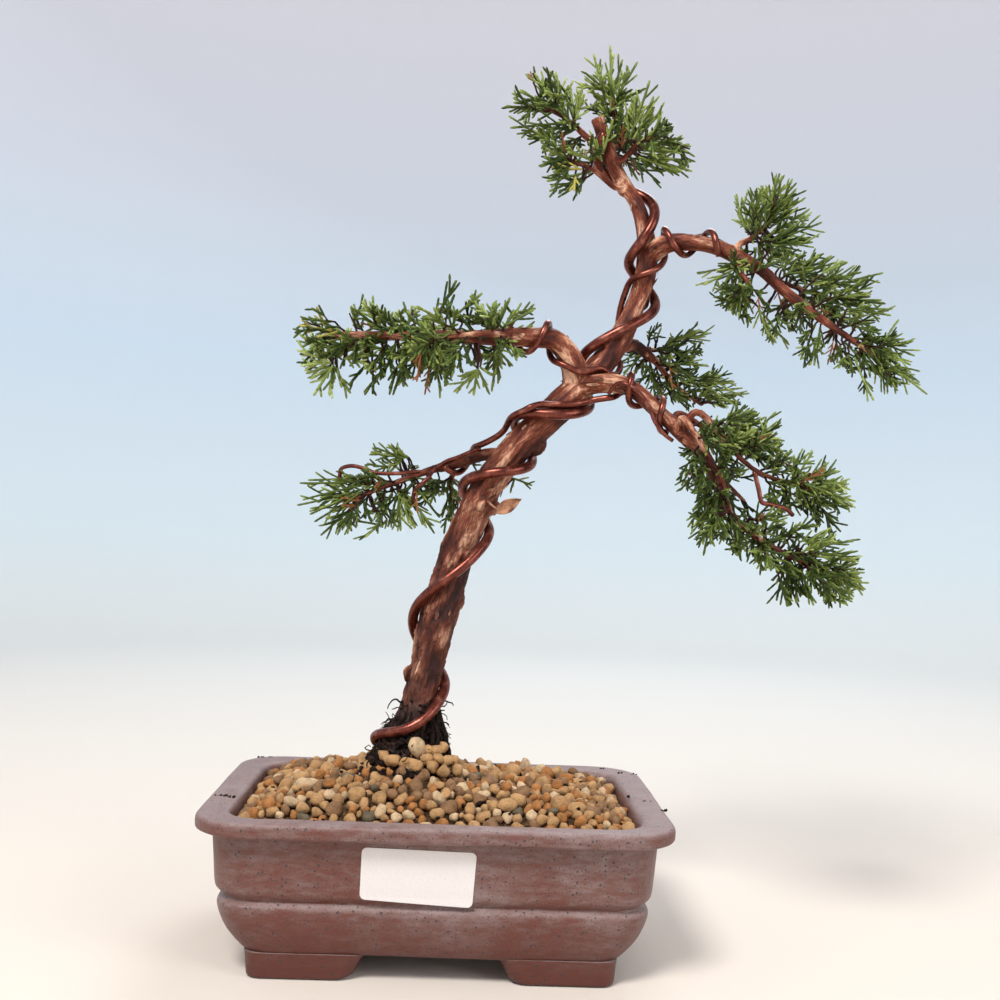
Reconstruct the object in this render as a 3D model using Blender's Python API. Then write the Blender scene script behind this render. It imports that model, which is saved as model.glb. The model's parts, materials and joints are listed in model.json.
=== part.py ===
"""Juniper bonsai in its pot, wired into shape.

Metres, +Z up. The feet of the pot stand on z = 0 and the origin is the middle of the
whole plant's footprint. The sizes below are in millimetres, measured from the middle
of the pot, with x to the right, y to the back and z up.
"""

import math
import random

import bmesh
import bpy
import numpy as np
from mathutils import Vector

MM = 0.001
GAP = 0.3  # room between pieces that touch
POT_X = -58.0  # middle of the pot, from the origin
POT_Y = 0.0

# Pot: rectangular, rounded corners, four feet. Insets are taken from the rim's outside.
POT_WIDTH = 200.0
POT_DEPTH = 145.0
POT_HEIGHT = 65.4
POT_CORNER = 23.0
CORNER_PER_INSET = 0.55  # how much tighter a corner gets as the wall moves in
TIGHTEST_CORNER = 6.0
CORNER_STEPS = 4
FOOT_HEIGHT = 10.0
# (height, inset at the ends, inset at front and back)
POT_OUTSIDE = (
    (FOOT_HEIGHT, 22.5, 13.5),
    (12.6, 19.0, 11.8),
    (17.5, 14.0, 10.4),
    (23.0, 11.2, 9.4),
    (28.6, 10.0, 9.0),
    (30.4, 10.6, 9.6),
    (31.6, 12.0, 10.8),
    (33.0, 10.0, 9.4),
    (35.0, 8.6, 8.4),
    (58.2, 6.6, 6.6),
    (59.0, 1.4, 1.4),
    (60.4, 0.2, 0.2),
    (64.0, 0.0, 0.0),
    (POT_HEIGHT, 1.6, 1.6),
)
POT_INSIDE = (
    (POT_HEIGHT, 12.4, 12.4),
    (64.0, 14.0, 14.0),
    (40.0, 16.6, 16.0),
    (22.0, 19.0, 17.5),
    (17.0, 23.0, 21.0),
)
DRAIN_HOLE_RADIUS = 6.0
DRAIN_HOLE_X = 45.0
DRAIN_HOLE_SIDES = 12
POT_FLOOR_MIDDLE = 14.0
FLOOR_CUTTER = 30.0
FOOT_LENGTH_TOP = 49.0
FOOT_LENGTH_BOTTOM = 39.0
FOOT_WIDTH = 24.0
FOOT_END_X = 76.0
FOOT_FRONT_Y = 59.2
FOOT_CORNER = 7.0
FOOT_FLARE_X = 0.8
FOOT_FLARE_Y = 0.3

# Bed of gravel, heaped towards the tree, and the dark mound of fine roots on it.
FOOT_OF_TREE = (-15.0, -2.0)
BED_EDGE_HEIGHT = 60.5
BED_TOP_HEIGHT = 75.0
BED_TOP_RADIUS = 25.0
BED_INSET = 15.0
BED_SLOPE = ((0.25, 0.42), (0.55, 0.72), (0.8, 0.9), (1.0, 1.0))  # share inwards, share up
MOUND_HEIGHT = 86.0
MOUND_FOOT_RADIUS = 22.0
MOUND_TOP_RADIUS = 14.5
MOUND_LEVELS = (0.0, 0.35, 0.7, 1.0)
MOUND_SIDES = 16
GROUND = MOUND_HEIGHT + GAP

# Limbs: where the centre of each runs and how thick it is there, (x, y, z, radius).
TRUNK = (
    (-15.0, -2.0, GROUND, 12.5),
    (-12.3, -2.0, 97.0, 9.4),
    (-10.0, -1.0, 112.0, 7.5),
    (-2.4, 2.0, 150.0, 8.5),
    (9.3, 3.0, 190.0, 7.7),
    (26.0, 0.0, 220.0, 7.1),
    (51.0, -3.0, 247.0, 7.3),
    (70.0, 0.0, 268.0, 6.0),
    (82.0, 3.0, 292.0, 4.7),
    (87.0, 1.0, 313.0, 5.0),
    (82.0, 0.0, 337.0, 3.5),
    (71.0, 1.0, 355.0, 3.4),
    (61.0, -1.0, 379.0, 3.2),
)
BOUGHS = {
    "bough_mid_left": (
        (56.0, -3.0, 252.0, 5.8),
        (52.5, -6.0, 265.0, 5.3),
        (44.0, -10.0, 273.5, 4.9),
        (32.0, -12.0, 273.5, 4.4),
        (16.0, -12.0, 273.0, 4.0),
    ),
    "bough_low_left": (
        (25.0, 1.0, 221.0, 3.6),
        (15.0, 8.0, 221.0, 2.9),
        (6.0, 14.0, 218.0, 2.6),
        (-6.0, 19.0, 214.5, 2.4),
    ),
    "bough_upper_right": (
        (87.0, 1.0, 316.0, 4.8),
        (94.0, -7.0, 320.5, 4.5),
        (106.0, -12.0, 320.5, 3.9),
        (118.0, -15.0, 317.5, 3.6),
        (130.0, -16.0, 311.5, 3.4),
    ),
    "bough_lower_right": (
        (57.0, -3.0, 254.0, 5.4),
        (70.0, -12.0, 254.5, 4.5),
        (80.0, -17.0, 251.5, 3.9),
        (92.0, -21.0, 241.0, 3.5),
        (103.0, -24.0, 230.5, 3.2),
    ),
    "bough_back_right": (
        (73.0, 2.0, 272.0, 3.4),
        (84.0, 13.0, 276.0, 2.7),
        (94.0, 21.0, 271.0, 2.3),
    ),
}
LIMB_STEPS = 3
TRUNK_STEPS = 2
STEM_STEPS = 2
TRUNK_SIDES = 12
BOUGH_SIDES = 8

# Wires. Each turn has four touches: on the left of the limb, in front, on the right, behind.
# A touch says how far along the limb it is, and how far off the bark the wire stands.
TRUNK_WIRE_RADIUS = 2.4
TRUNK_WIRE_TOUCHES = (
    (0, 0), (10, 0), (29, 0.6), (41, 0),
    (58, 0), (79, 0), (104, 0), (112, 0),
    (120, 0), (133, 0), (146, 0), (151, 0),
    (156, 0), (168, 0), (184, 1.2), (192, 0.6),
    (201, 0), (221, 0), (238, 2.6), (247, 1.0),
    (256, 2.2), (268, 0.4), (281, 1.8), (295, 0.6),
    (311, 0.6), (319, 0),
)
TRUNK_WIRE_TAIL = (-3.5, 0.0, -4.5)  # from the lowest touch to the end in the roots
TRUNK_WIRE_SPACING = 5.5
THIN_WIRE_RADIUS = 1.5
THIN_WIRE_SPACING = 4.2
WIRE_STEPS = 6
LIMB_WIRE_CLEARANCE = 0.6
SETTLE_ROUNDS = 12
# (limb, distance along it, quarter turns, how far off the bark) for each touch.
UPPER_WIRE_TOUCHES = (
    ("bough_mid_left", 44.0, -1.0, 0),
    ("bough_mid_left", 34.0, 1.0, 0),
    ("bough_mid_left", 26.0, 3.0, 0),
    ("bough_mid_left", 15.0, 4.7, 0),
    ("trunk", 189.0, 0.7, 0),
    ("trunk", 205.0, 2.0, 0),
    ("trunk", 218.0, 3.0, 0),
    ("trunk", 243.0, 4.0, 0),
    ("trunk", 257.0, 6.0, 0),
    ("bough_upper_right", 9.0, 3.4, 0),
    ("bough_upper_right", 14.0, 4.6, 0),
    ("bough_upper_right", 26.0, 7.2, 0),
    ("bough_upper_right", 38.0, 9.6, 0),
)
LOWER_WIRE_TOUCHES = (
    ("bough_low_left", 33.0, 5.0, 0),
    ("bough_low_left", 24.0, 3.0, 0),
    ("bough_low_left", 12.0, 1.6, 0.3),
    ("trunk", 148.0, -0.3, 0.8),
    ("trunk", 153.5, 0.1, 2.5),
    ("trunk", 159.0, 0.5, 5.5),
    ("trunk", 166.0, 0.75, 0.8),
    ("trunk", 176.0, 1.2, 0),
    ("trunk", 186.0, 1.7, 0),
    ("bough_lower_right", 17.0, 2.0, 0),
    ("bough_lower_right", 22.0, 3.5, 0),
    ("bough_lower_right", 31.0, 6.0, 0),
    ("bough_lower_right", 42.0, 8.5, 0),
    ("bough_lower_right", 52.0, 10.5, 0),
)

# Foliage: name, limb that the stem meets, how far before the limb's tip, which way the
# stem leaves it, the two points that the stem then runs through, how far twigs reach from
# it, and where along the stem they start.
MASSES = (
    ("mass_apex_left", "trunk", 9, (-1, -0.3, 0.2), (47, -5, 376), (36, -6, 381), 18, 0.3),
    ("mass_apex_top", "trunk", 14, (1, 0.5, 0.4), (70, 4, 379), (67, 3, 391), 13, 0.3),
    ("mass_apex_right", "trunk", 22, (1, -0.5, 0.3), (80, -9, 366), (89, -10, 369), 20, 0.25),
    ("mass_apex_low", "trunk", 33, (-1, -0.7, 0.1), (58, -12, 352), (48, -14, 354), 16, 0.3),
    ("mass_apex_back", "trunk", 18, (0.1, 1, 0.1), (70, 15, 366), (73, 26, 371), 18, 0.3),
    ("mass_upper_right_crown", "bough_upper_right", 7, (0, 0.3, 1), (134, -8, 325), (144, -4, 336), 20, 0.3),
    ("mass_upper_right_under", "bough_upper_right", 4, (0, -0.4, -1), (129, -22, 301), (126, -23, 296), 17, 0.3),
    ("mass_upper_right_middle", "bough_upper_right", 3, (0, 1, 0.3), (148, -1, 307), (174, 2, 300), 20, 0.25),
    ("mass_upper_right_outer", "bough_upper_right", 0, (0, 0, 0), (158, -18, 290), (192, -17, 270), 22, 0.3),
    ("mass_mid_left_front", "bough_mid_left", 4, (0, -1, 0), (8, -26, 272), (-10, -26, 269), 19, 0.1),
    ("mass_mid_left_back", "bough_mid_left", 13, (0, 1, 0.6), (16, 1, 278), (-9, 7, 272), 20, 0.1),
    ("mass_mid_left_outer", "bough_mid_left", 0, (0, 0, 0), (-22, -8, 268), (-52, -7, 263), 21, 0.4),
    ("mass_low_left_outer", "bough_low_left", 0, (0, 0, 0), (-26, 22, 207), (-46, 20, 198), 19, 0.25),
    ("mass_low_left_back", "bough_low_left", 4, (0, 1, -0.3), (0, 34, 204), (14, 40, 201), 18, 0.2),
    ("mass_back_right_inner", "bough_back_right", 3, (0, 0.5, 1), (94, 31, 277), (106, 35, 278), 18, 0.1),
    ("mass_back_right_outer", "bough_back_right", 0, (0, 0, 0), (106, 27, 260), (121, 32, 251), 18, 0.1),
    ("mass_lower_right_crown", "bough_lower_right", 9, (0.2, 0.6, 1), (117, -15, 234), (133, -12, 231), 17, 0.25),
    ("mass_lower_right_back", "bough_lower_right", 2, (0, 1, 0), (120, -6, 217), (138, 8, 204), 18, 0.4),
    ("mass_lower_right_upper", "bough_lower_right", 2.5, (1, -0.3, 0.9), (134, -22, 218), (166, -16, 209), 18, 0.25),
    ("mass_lower_right_under", "bough_lower_right", 4, (0.5, -1, 0), (117, -35, 213), (121, -38, 198), 17, 0.35),
    ("mass_lower_right_outer", "bough_lower_right", 0, (0, 0, 0), (128, -27, 193), (168, -21, 172), 21, 0.35),
)
MAIN_STEM_RADIUS = 2.4
SIDE_STEM_RADIUS = 1.7
STEM_TIP_RADIUS = 1.2
STEM_SIDES = 4
TWIG_SPACING = 9.5
TWIG_LEAN = (78.0, 32.0)  # degrees from the stem, at the first twig and near its tip
END_TWIG_LEAN = 6.0
TWIG_RADIUS = 1.7
TWIG_TIP_RADIUS = 1.3
TWIG_LIFT = -0.05
SHORTEST_TWIG = 4.0
TWIG_SHARE = 0.75  # of the reach, the rest is spray
SPRAY_LENGTH = 12.5
SPRAY_LEAN = (34.0, 52.0)
END_SPRAY_LEAN = 4.0
SPRAY_TURN = 155.0  # degrees from one spray to the next round the twig
SPRAY_STARTS = (0.22, 0.96)  # along the twig, the first and the last
SPRAY_ROOT_RADIUS = 0.55
SPRAY_RADIUS = 0.9
SPRAY_ROOM = 3.0
SPRAYS_PER_TWIG = 6
CHECKED_PARTS = (0.3, 0.5, 0.75, 1.0)
GOLDEN_ANGLE = math.radians(137.5)

WOOD = ("bark", (0.21, 0.075, 0.040), 0.75, 0.0)
FOLIAGE = ("scale_leaves", (0.055, 0.15, 0.035), 0.55, 0.0)
WIRE = ("anodised_wire", (0.20, 0.055, 0.045), 0.3, 1.0)
STONEWARE = ("stoneware", (0.17, 0.085, 0.070), 0.6, 0.0)
GRAVEL = ("gravel", (0.44, 0.25, 0.12), 0.9, 0.0)
PEAT = ("root_mat", (0.020, 0.012, 0.010), 0.95, 0.0)


def placed(point):
    """A point in millimetres from the middle of the pot, as metres in the scene."""
    return Vector(((point[0] + POT_X) * MM, (point[1] + POT_Y) * MM, point[2] * MM))


def material(spec):
    name, colour, roughness, metallic = spec
    found = bpy.data.materials.get(name)
    if found:
        return found
    made = bpy.data.materials.new(name)
    made.use_nodes = True
    shader = made.node_tree.nodes["Principled BSDF"]
    shader.inputs["Base Color"].default_value = (*colour, 1.0)
    shader.inputs["Roughness"].default_value = roughness
    shader.inputs["Metallic"].default_value = metallic
    return made


def new_object(name, mesh, spec, collection):
    made = bpy.data.objects.new(name, mesh)
    mesh.materials.clear()
    mesh.materials.append(material(spec))
    collection.objects.link(made)
    return made


def loft(name, rings, spec, collection):
    """One closed skin over rings that all have the same number of points."""
    form = bmesh.new()
    rows = [[form.verts.new(placed(point)) for point in ring] for ring in rings]
    sides = len(rows[0])
    for low, high in zip(rows, rows[1:]):
        for i in range(sides):
            j = (i + 1) % sides
            form.faces.new((low[i], low[j], high[j], high[i]))
    form.faces.new(list(reversed(rows[0])))
    form.faces.new(rows[-1])
    bmesh.ops.recalc_face_normals(form, faces=form.faces)
    mesh = bpy.data.meshes.new(name)
    form.to_mesh(mesh)
    form.free()
    return new_object(name, mesh, spec, collection)


def rounded_rectangle(half_x, half_y, corner, z):
    """Ring of points round a rectangle, an arc at each corner."""
    ring = []
    for quarter, (sx, sy) in enumerate(((1, 1), (-1, 1), (-1, -1), (1, -1))):
        for step in range(CORNER_STEPS + 1):
            turn = (quarter + step / CORNER_STEPS) * math.pi / 2
            x = sx * (half_x - corner) + corner * math.cos(turn)
            y = sy * (half_y - corner) + corner * math.sin(turn)
            ring.append((x, y, z))
    return ring


def pot_ring(height, inset_x, inset_y):
    corner = max(POT_CORNER - CORNER_PER_INSET * inset_x, TIGHTEST_CORNER)
    return rounded_rectangle(POT_WIDTH / 2 - inset_x, POT_DEPTH / 2 - inset_y, corner, height)


def cut(target, cutter):
    """Takes the cutter's shape out of the target, and removes the cutter."""
    boolean = target.modifiers.new("cut", "BOOLEAN")
    boolean.operation = "DIFFERENCE"
    boolean.solver = "EXACT"
    boolean.object = cutter
    apply_modifiers(target)
    bpy.data.objects.remove(cutter)


def apply_modifiers(target):
    """Replaces the object's mesh with the one that its modifiers make."""
    bpy.context.view_layer.update()
    graph = bpy.context.evaluated_depsgraph_get()
    mesh = bpy.data.meshes.new_from_object(target.evaluated_get(graph))
    target.modifiers.clear()
    target.data = mesh


def pot(collection):
    rings = [pot_ring(*level) for level in POT_OUTSIDE + POT_INSIDE]
    body = loft("pot", rings, STONEWARE, collection)
    for side in (-1, 1):
        hole = bmesh.new()
        bmesh.ops.create_cone(
            hole, cap_ends=True, segments=DRAIN_HOLE_SIDES, depth=FLOOR_CUTTER * MM,
            radius1=DRAIN_HOLE_RADIUS * MM, radius2=DRAIN_HOLE_RADIUS * MM,
        )
        middle = placed((side * DRAIN_HOLE_X, 0, POT_FLOOR_MIDDLE))
        bmesh.ops.translate(hole, verts=hole.verts, vec=middle)
        mesh = bpy.data.meshes.new("drain_hole")
        hole.to_mesh(mesh)
        hole.free()
        cut(body, new_object("drain_hole", mesh, STONEWARE, collection))


def pot_feet(collection):
    """A low block under each corner, its inner end sloping and its outer end rounded."""
    top = FOOT_HEIGHT - GAP
    for front, sy in (("front", -1), ("back", 1)):
        for hand, sx in (("left", -1), ("right", 1)):
            rings = []
            for z, length, flared in ((0.0, FOOT_LENGTH_BOTTOM, 0), (top, FOOT_LENGTH_TOP, 1)):
                end = FOOT_END_X + flared * FOOT_FLARE_X
                edge = FOOT_FRONT_Y + flared * FOOT_FLARE_Y
                middle_x = end - length / 2
                middle_y = edge - FOOT_WIDTH / 2
                outline = rounded_rectangle(length / 2, FOOT_WIDTH / 2, FOOT_CORNER, z)
                rings.append([(sx * middle_x + x, sy * middle_y + y, z) for x, y, z in outline])
            loft(f"pot_foot_{front}_{hand}", rings, STONEWARE, collection)


def gravel_bed(collection):
    """Fills the pot: follows its inner wall, and rises to a flat round place under the tree."""
    walls = [level for level in POT_INSIDE if level[0] < BED_EDGE_HEIGHT]
    rings = [pot_ring(z + GAP, inset_x + GAP, inset_y + GAP) for z, inset_x, inset_y in reversed(walls)]
    edge = pot_ring(BED_EDGE_HEIGHT, BED_INSET, BED_INSET)
    rings.append(edge)
    centre_x, centre_y = FOOT_OF_TREE
    for share, rise in BED_SLOPE:
        ring = []
        for x, y, z in edge:
            bearing = math.atan2(y - centre_y, x - centre_x)
            end_x = centre_x + BED_TOP_RADIUS * math.cos(bearing)
            end_y = centre_y + BED_TOP_RADIUS * math.sin(bearing)
            height = BED_EDGE_HEIGHT + (BED_TOP_HEIGHT - BED_EDGE_HEIGHT) * rise
            ring.append((x + (end_x - x) * share, y + (end_y - y) * share, height))
        rings.append(ring)
    loft("gravel_bed", rings, GRAVEL, collection)


def root_mound(collection):
    rings = []
    foot = BED_TOP_HEIGHT + GAP
    turns = [2 * math.pi * i / MOUND_SIDES for i in range(MOUND_SIDES)]
    for share in MOUND_LEVELS:
        radius = MOUND_FOOT_RADIUS + (MOUND_TOP_RADIUS - MOUND_FOOT_RADIUS) * share**0.8
        z = foot + (MOUND_HEIGHT - foot) * share
        rings.append([
            (FOOT_OF_TREE[0] + radius * math.cos(a), FOOT_OF_TREE[1] + radius * math.sin(a), z)
            for a in turns
        ])
    loft("root_mound", rings, PEAT, collection)


def smooth(stations, steps):
    """Catmull-Rom curve through the stations, as an array with steps points a span."""
    rows = np.array(stations, float)
    rows = np.vstack([2 * rows[0] - rows[1], rows, 2 * rows[-1] - rows[-2]])
    out = []
    for a, b, c, d in zip(rows, rows[1:], rows[2:], rows[3:]):
        for k in range(steps):
            t = k / steps
            out.append(0.5 * (
                2 * b + (c - a) * t + (2 * a - 5 * b + 4 * c - d) * t**2
                + (3 * b - a - 3 * c + d) * t**3
            ))
    out.append(rows[-2])
    return np.array(out)


def unit(vector):
    return vector / np.linalg.norm(vector)


class Limb:
    """A round limb: points along its centre, with its radius at each."""

    def __init__(self, stations, steps=LIMB_STEPS, facing=None):
        rows = smooth(stations, steps)
        self.facing = facing
        self.points = rows[:, :3]
        self.radii = rows[:, 3]
        spans = np.linalg.norm(np.diff(self.points, axis=0), axis=1)
        self.along = np.concatenate([[0.0], np.cumsum(spans)])
        self.length = self.along[-1]

    def place(self, distance):
        """Centre, direction and radius at a distance along the limb."""
        i = int(np.clip(np.searchsorted(self.along, distance) - 1, 0, len(self.points) - 2))
        share = (distance - self.along[i]) / (self.along[i + 1] - self.along[i])
        centre = self.points[i] + (self.points[i + 1] - self.points[i]) * share
        radius = self.radii[i] + (self.radii[i + 1] - self.radii[i]) * share
        return centre, unit(self.points[i + 1] - self.points[i]), radius

    def nearest(self, point):
        """The centre and radius of the limb where it is nearest to a point."""
        start = self.points[:-1]
        span = self.points[1:] - start
        share = np.einsum("ij,ij->i", point - start, span) / np.einsum("ij,ij->i", span, span)
        share = np.clip(share, 0.0, 1.0)
        centres = start + span * share[:, None]
        i = int(np.argmin(np.linalg.norm(point - centres, axis=1)))
        return centres[i], self.radii[i] + (self.radii[i + 1] - self.radii[i]) * share[i]

    def rings(self, sides, extra=0.0):
        """Rings square to the limb, turned as little as possible from one to the next."""
        tangents = np.gradient(self.points, axis=0)
        if self.facing is not None:
            tangents[0] = self.facing
        side = unit(np.cross(tangents[0], (0.31, 0.95, 0.12)))
        out = []
        for centre, tangent, radius in zip(self.points, tangents, self.radii):
            forward = unit(tangent)
            side = unit(side - forward * np.dot(side, forward))
            across = np.cross(forward, side)
            turns = [2 * math.pi * i / sides for i in range(sides)]
            out.append([
                centre + (radius + extra) * (side * math.cos(a) + across * math.sin(a))
                for a in turns
            ])
        return out


def flat_foot(rings, height):
    """Lays the lowest ring of the trunk flat on the ground."""
    return [[(x, y, height) for x, y, _ in rings[0]]] + rings[1:]


def trunk(collection, limb):
    loft("trunk", flat_foot(limb.rings(TRUNK_SIDES), GROUND), WOOD, collection)


def bough(collection, name, limb, trunk_limb):
    """A tapering bough whose root is cut to sit against the trunk."""
    made = loft(name, limb.rings(BOUGH_SIDES), WOOD, collection)
    clear = GAP / math.cos(math.pi / TRUNK_SIDES)
    cutter = loft("trunk_cutter", trunk_limb.rings(TRUNK_SIDES, clear), WOOD, collection)
    cut(made, cutter)
    keep_main_shell(made)


def touch_point(limb, distance, quarters, off):
    """Where a wire's centre is when it lies on the limb, after some quarter turns."""
    centre, forward, radius = limb.place(distance)
    front = np.array((0.0, -1.0, 0.0))
    front = unit(front - forward * np.dot(front, forward))
    right = np.cross(forward, front)
    turn = quarters * math.pi / 2
    return centre + (radius + off) * (front * math.sin(turn) - right * math.cos(turn))


def push_clear(points, radius, limbs):
    """Moves each point of a wire straight out of any limb that it is too near."""
    for i in range(len(points)):
        for limb in limbs:
            centre, limb_radius = limb.nearest(points[i])
            room = radius + limb_radius + LIMB_WIRE_CLEARANCE
            out = points[i] - centre
            if np.linalg.norm(out) < room:
                points[i] = centre + unit(out) * room


def settle(points, radius, limbs):
    """Evens out a wire and pushes it clear of the limbs, a little at a time."""
    for _ in range(SETTLE_ROUNDS):
        points[1:-1] = 0.9 * points[1:-1] + 0.05 * (points[:-2] + points[2:])
        push_clear(points, radius, limbs)
    for _ in range(SETTLE_ROUNDS):
        push_clear(points, radius, limbs)
    return points


def evenly(points, spacing):
    """The same line with its points a fixed distance apart."""
    points = np.array(points)
    spans = np.linalg.norm(np.diff(points, axis=0), axis=1)
    along = np.concatenate([[0.0], np.cumsum(spans)])
    stops = np.linspace(0.0, along[-1], round(along[-1] / spacing) + 1)
    return np.stack([np.interp(stops, along, points[:, k]) for k in range(3)], axis=1)


def trunk_wire_route(limbs):
    off = TRUNK_WIRE_RADIUS + LIMB_WIRE_CLEARANCE
    touches = smooth([(d, o, q) for q, (d, o) in enumerate(TRUNK_WIRE_TOUCHES)], WIRE_STEPS)
    limb = limbs["trunk"]
    points = [touch_point(limb, min(d, limb.length), q, off + o) for d, o, q in touches]
    tail = points[0] + np.array(TRUNK_WIRE_TAIL)
    points = evenly([tail] + points, TRUNK_WIRE_SPACING)
    return settle(points, TRUNK_WIRE_RADIUS, list(limbs.values()))


def thin_wire_route(touches, limbs, thick_route):
    """Winds along each limb in turn, then is smoothed where it passes from one to the next."""
    points = []
    for before, after in zip(touches, touches[1:]):
        parts = max(1, round(abs(after[2] - before[2]))) if after[0] == before[0] else 1
        for k in range(parts):
            distance, turn, off = (a + (b - a) * k / parts for a, b in zip(before[1:], after[1:]))
            points.append(thin_touch(limbs[before[0]], distance, turn, off))
    name, *last = touches[-1]
    points.append(thin_touch(limbs[name], *last))
    points = evenly(smooth(points, WIRE_STEPS), THIN_WIRE_SPACING)
    thick = Limb([(*p, TRUNK_WIRE_RADIUS) for p in thick_route], 1)
    return settle(points, THIN_WIRE_RADIUS, list(limbs.values()) + [thick])


def thin_touch(limb, distance, turn, off):
    return touch_point(limb, distance, turn, THIN_WIRE_RADIUS + LIMB_WIRE_CLEARANCE + off)


def wire(collection, name, route, radius):
    curve = bpy.data.curves.new(name, "CURVE")
    curve.dimensions = "3D"
    curve.bevel_depth = radius * MM
    curve.bevel_resolution = 2
    curve.use_fill_caps = True
    line = curve.splines.new("POLY")
    line.points.add(len(route) - 1)
    for point, spot in zip(line.points, route):
        point.co = (*placed(spot), 1.0)
    made = bpy.data.objects.new(name, curve)
    curve.materials.append(material(WIRE))
    collection.objects.link(made)


def stem_of(row, limbs):
    """A mass's stem: it starts just clear of its limb and runs through its two points."""
    _, host, back, leaving, middle, end, _, _ = row
    limb = limbs[host]
    centre, forward, radius = limb.place(limb.length - back)
    thick = MAIN_STEM_RADIUS
    start = centre + forward * GAP
    if back > 0:
        leaving = np.array(leaving, float)
        forward = unit(leaving - forward * np.dot(leaving, forward))
        thick = SIDE_STEM_RADIUS
        start = centre + forward * (radius + GAP + 0.1)
    return Limb(
        [
            (*start, thick),
            (*(start + forward * np.linalg.norm(middle - start) * 0.3), thick),
            (*middle, (thick + STEM_TIP_RADIUS) / 2),
            (*end, STEM_TIP_RADIUS),
        ],
        STEM_STEPS,
        forward,
    )


def from_segments(point, starts, ends):
    """Distance from a point to the nearest of some straight pieces."""
    span = ends - starts
    share = np.einsum("ij,ij->i", point - starts, span) / np.einsum("ij,ij->i", span, span)
    nearest = starts + span * np.clip(share, 0.0, 1.0)[:, None]
    return np.linalg.norm(point - nearest, axis=1).min()


class Space:
    """The room round each stem, and the limbs and wires that twigs stay clear of."""

    def __init__(self, stems, reaches, solids):
        self.stems = stems
        self.reaches = reaches
        self.solids = solids
        self.grown = []

    def holds(self, own, point, radius):
        """True if a ball at the point is in this mass's own room and touches nothing."""
        for solid in self.solids:
            centre, thickness = solid.nearest(point)
            if np.linalg.norm(point - centre) < thickness + radius + GAP:
                return False
        shares = {}
        for name, stem in self.stems.items():
            centre, thickness = stem.nearest(point)
            away = np.linalg.norm(point - centre)
            if name != own and away < thickness + radius + GAP:
                return False
            shares[name] = away - self.reaches[name]
        mine = shares.pop(own)
        return all(other - mine > 2 * (radius + GAP) for other in shares.values())

    def crowded(self, point, room):
        """True if an earlier spray of the same mass is nearer than this."""
        if not self.grown:
            return False
        starts, ends = (np.array(side) for side in zip(*self.grown))
        return from_segments(point, starts, ends) < room


def spike(root, tip, root_radius, tip_radius, helper):
    """A straight three-sided twig or spray from root to tip, as an object in the helper."""
    heading = tip - root
    form = bmesh.new()
    bmesh.ops.create_cone(
        form, cap_ends=True, segments=3, depth=float(np.linalg.norm(heading)) * MM,
        radius1=root_radius * MM, radius2=tip_radius * MM,
    )
    turn = Vector((0, 0, 1)).rotation_difference(Vector(heading))
    bmesh.ops.rotate(form, verts=form.verts, matrix=turn.to_matrix())
    bmesh.ops.translate(form, verts=form.verts, vec=placed((root + tip) / 2))
    mesh = bpy.data.meshes.new("spike")
    form.to_mesh(mesh)
    form.free()
    helper.objects.link(bpy.data.objects.new("spike", mesh))


def turned_out(forward, around, lean):
    """A direction that leans away from forward, on the side given by the turn around it."""
    side = unit(np.cross(forward, (0.2, 0.1, 1.0)))
    across = np.cross(forward, side)
    outward = side * math.cos(around) + across * math.sin(around)
    return unit(forward * math.cos(lean) + outward * math.sin(lean))


def twigs_of(name, stem, reach, first, space, dice, helper):
    """Twigs by the golden angle up the stem, each with sprays on alternate sides."""
    count = max(3, round(stem.length * (1 - first) / TWIG_SPACING) + 2)
    sprays = 0
    for i in range(count + 1):
        share = i / count
        distance = stem.length * (first + (1 - first) * share)
        root, forward, _ = stem.place(min(distance, stem.length - 0.5))
        lean = math.radians(TWIG_LEAN[0] + (TWIG_LEAN[1] - TWIG_LEAN[0]) * share + dice.uniform(-8, 8))
        if i == count:
            lean = math.radians(END_TWIG_LEAN)
        heading = turned_out(forward, i * GOLDEN_ANGLE + dice.uniform(-0.35, 0.35), lean)
        heading = unit(heading + np.array((0.0, 0.0, TWIG_LIFT)))
        length = reach * TWIG_SHARE * dice.uniform(0.85, 1.1)
        while length > SHORTEST_TWIG:
            tip = root + heading * length
            if all(space.holds(name, root + (tip - root) * part, TWIG_RADIUS) for part in CHECKED_PARTS):
                break
            length *= 0.8
        else:
            continue
        spike(root, tip, TWIG_RADIUS, TWIG_TIP_RADIUS, helper)
        sprays += sprays_of(name, root, tip, i, space, dice, helper)
    return sprays


def sprays_of(name, root, tip, number, space, dice, helper):
    """Sprays along one twig: they point forward and out, and the last is in line at its tip."""
    forward = unit(tip - root)
    made = 0
    for j in range(SPRAYS_PER_TWIG):
        last = j == SPRAYS_PER_TWIG - 1
        first, final = SPRAY_STARTS
        start = root + (tip - root) * (first + (final - first) * j / (SPRAYS_PER_TWIG - 1))
        lean = math.radians(END_SPRAY_LEAN if last else dice.uniform(*SPRAY_LEAN))
        around = j * math.radians(SPRAY_TURN) + number + dice.uniform(-0.4, 0.4)
        heading = turned_out(forward, around, lean)
        length = SPRAY_LENGTH * dice.uniform(0.8, 1.2)
        checks = [start + heading * length * part for part in CHECKED_PARTS]
        if not all(space.holds(name, point, SPRAY_RADIUS) for point in checks):
            continue
        if any(space.crowded(point, SPRAY_ROOM) for point in checks):
            continue
        space.grown.append((start, start + heading * length))
        spike(start, start + heading * length, SPRAY_ROOT_RADIUS, SPRAY_RADIUS, helper)
        made += 1
    return made


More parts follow.
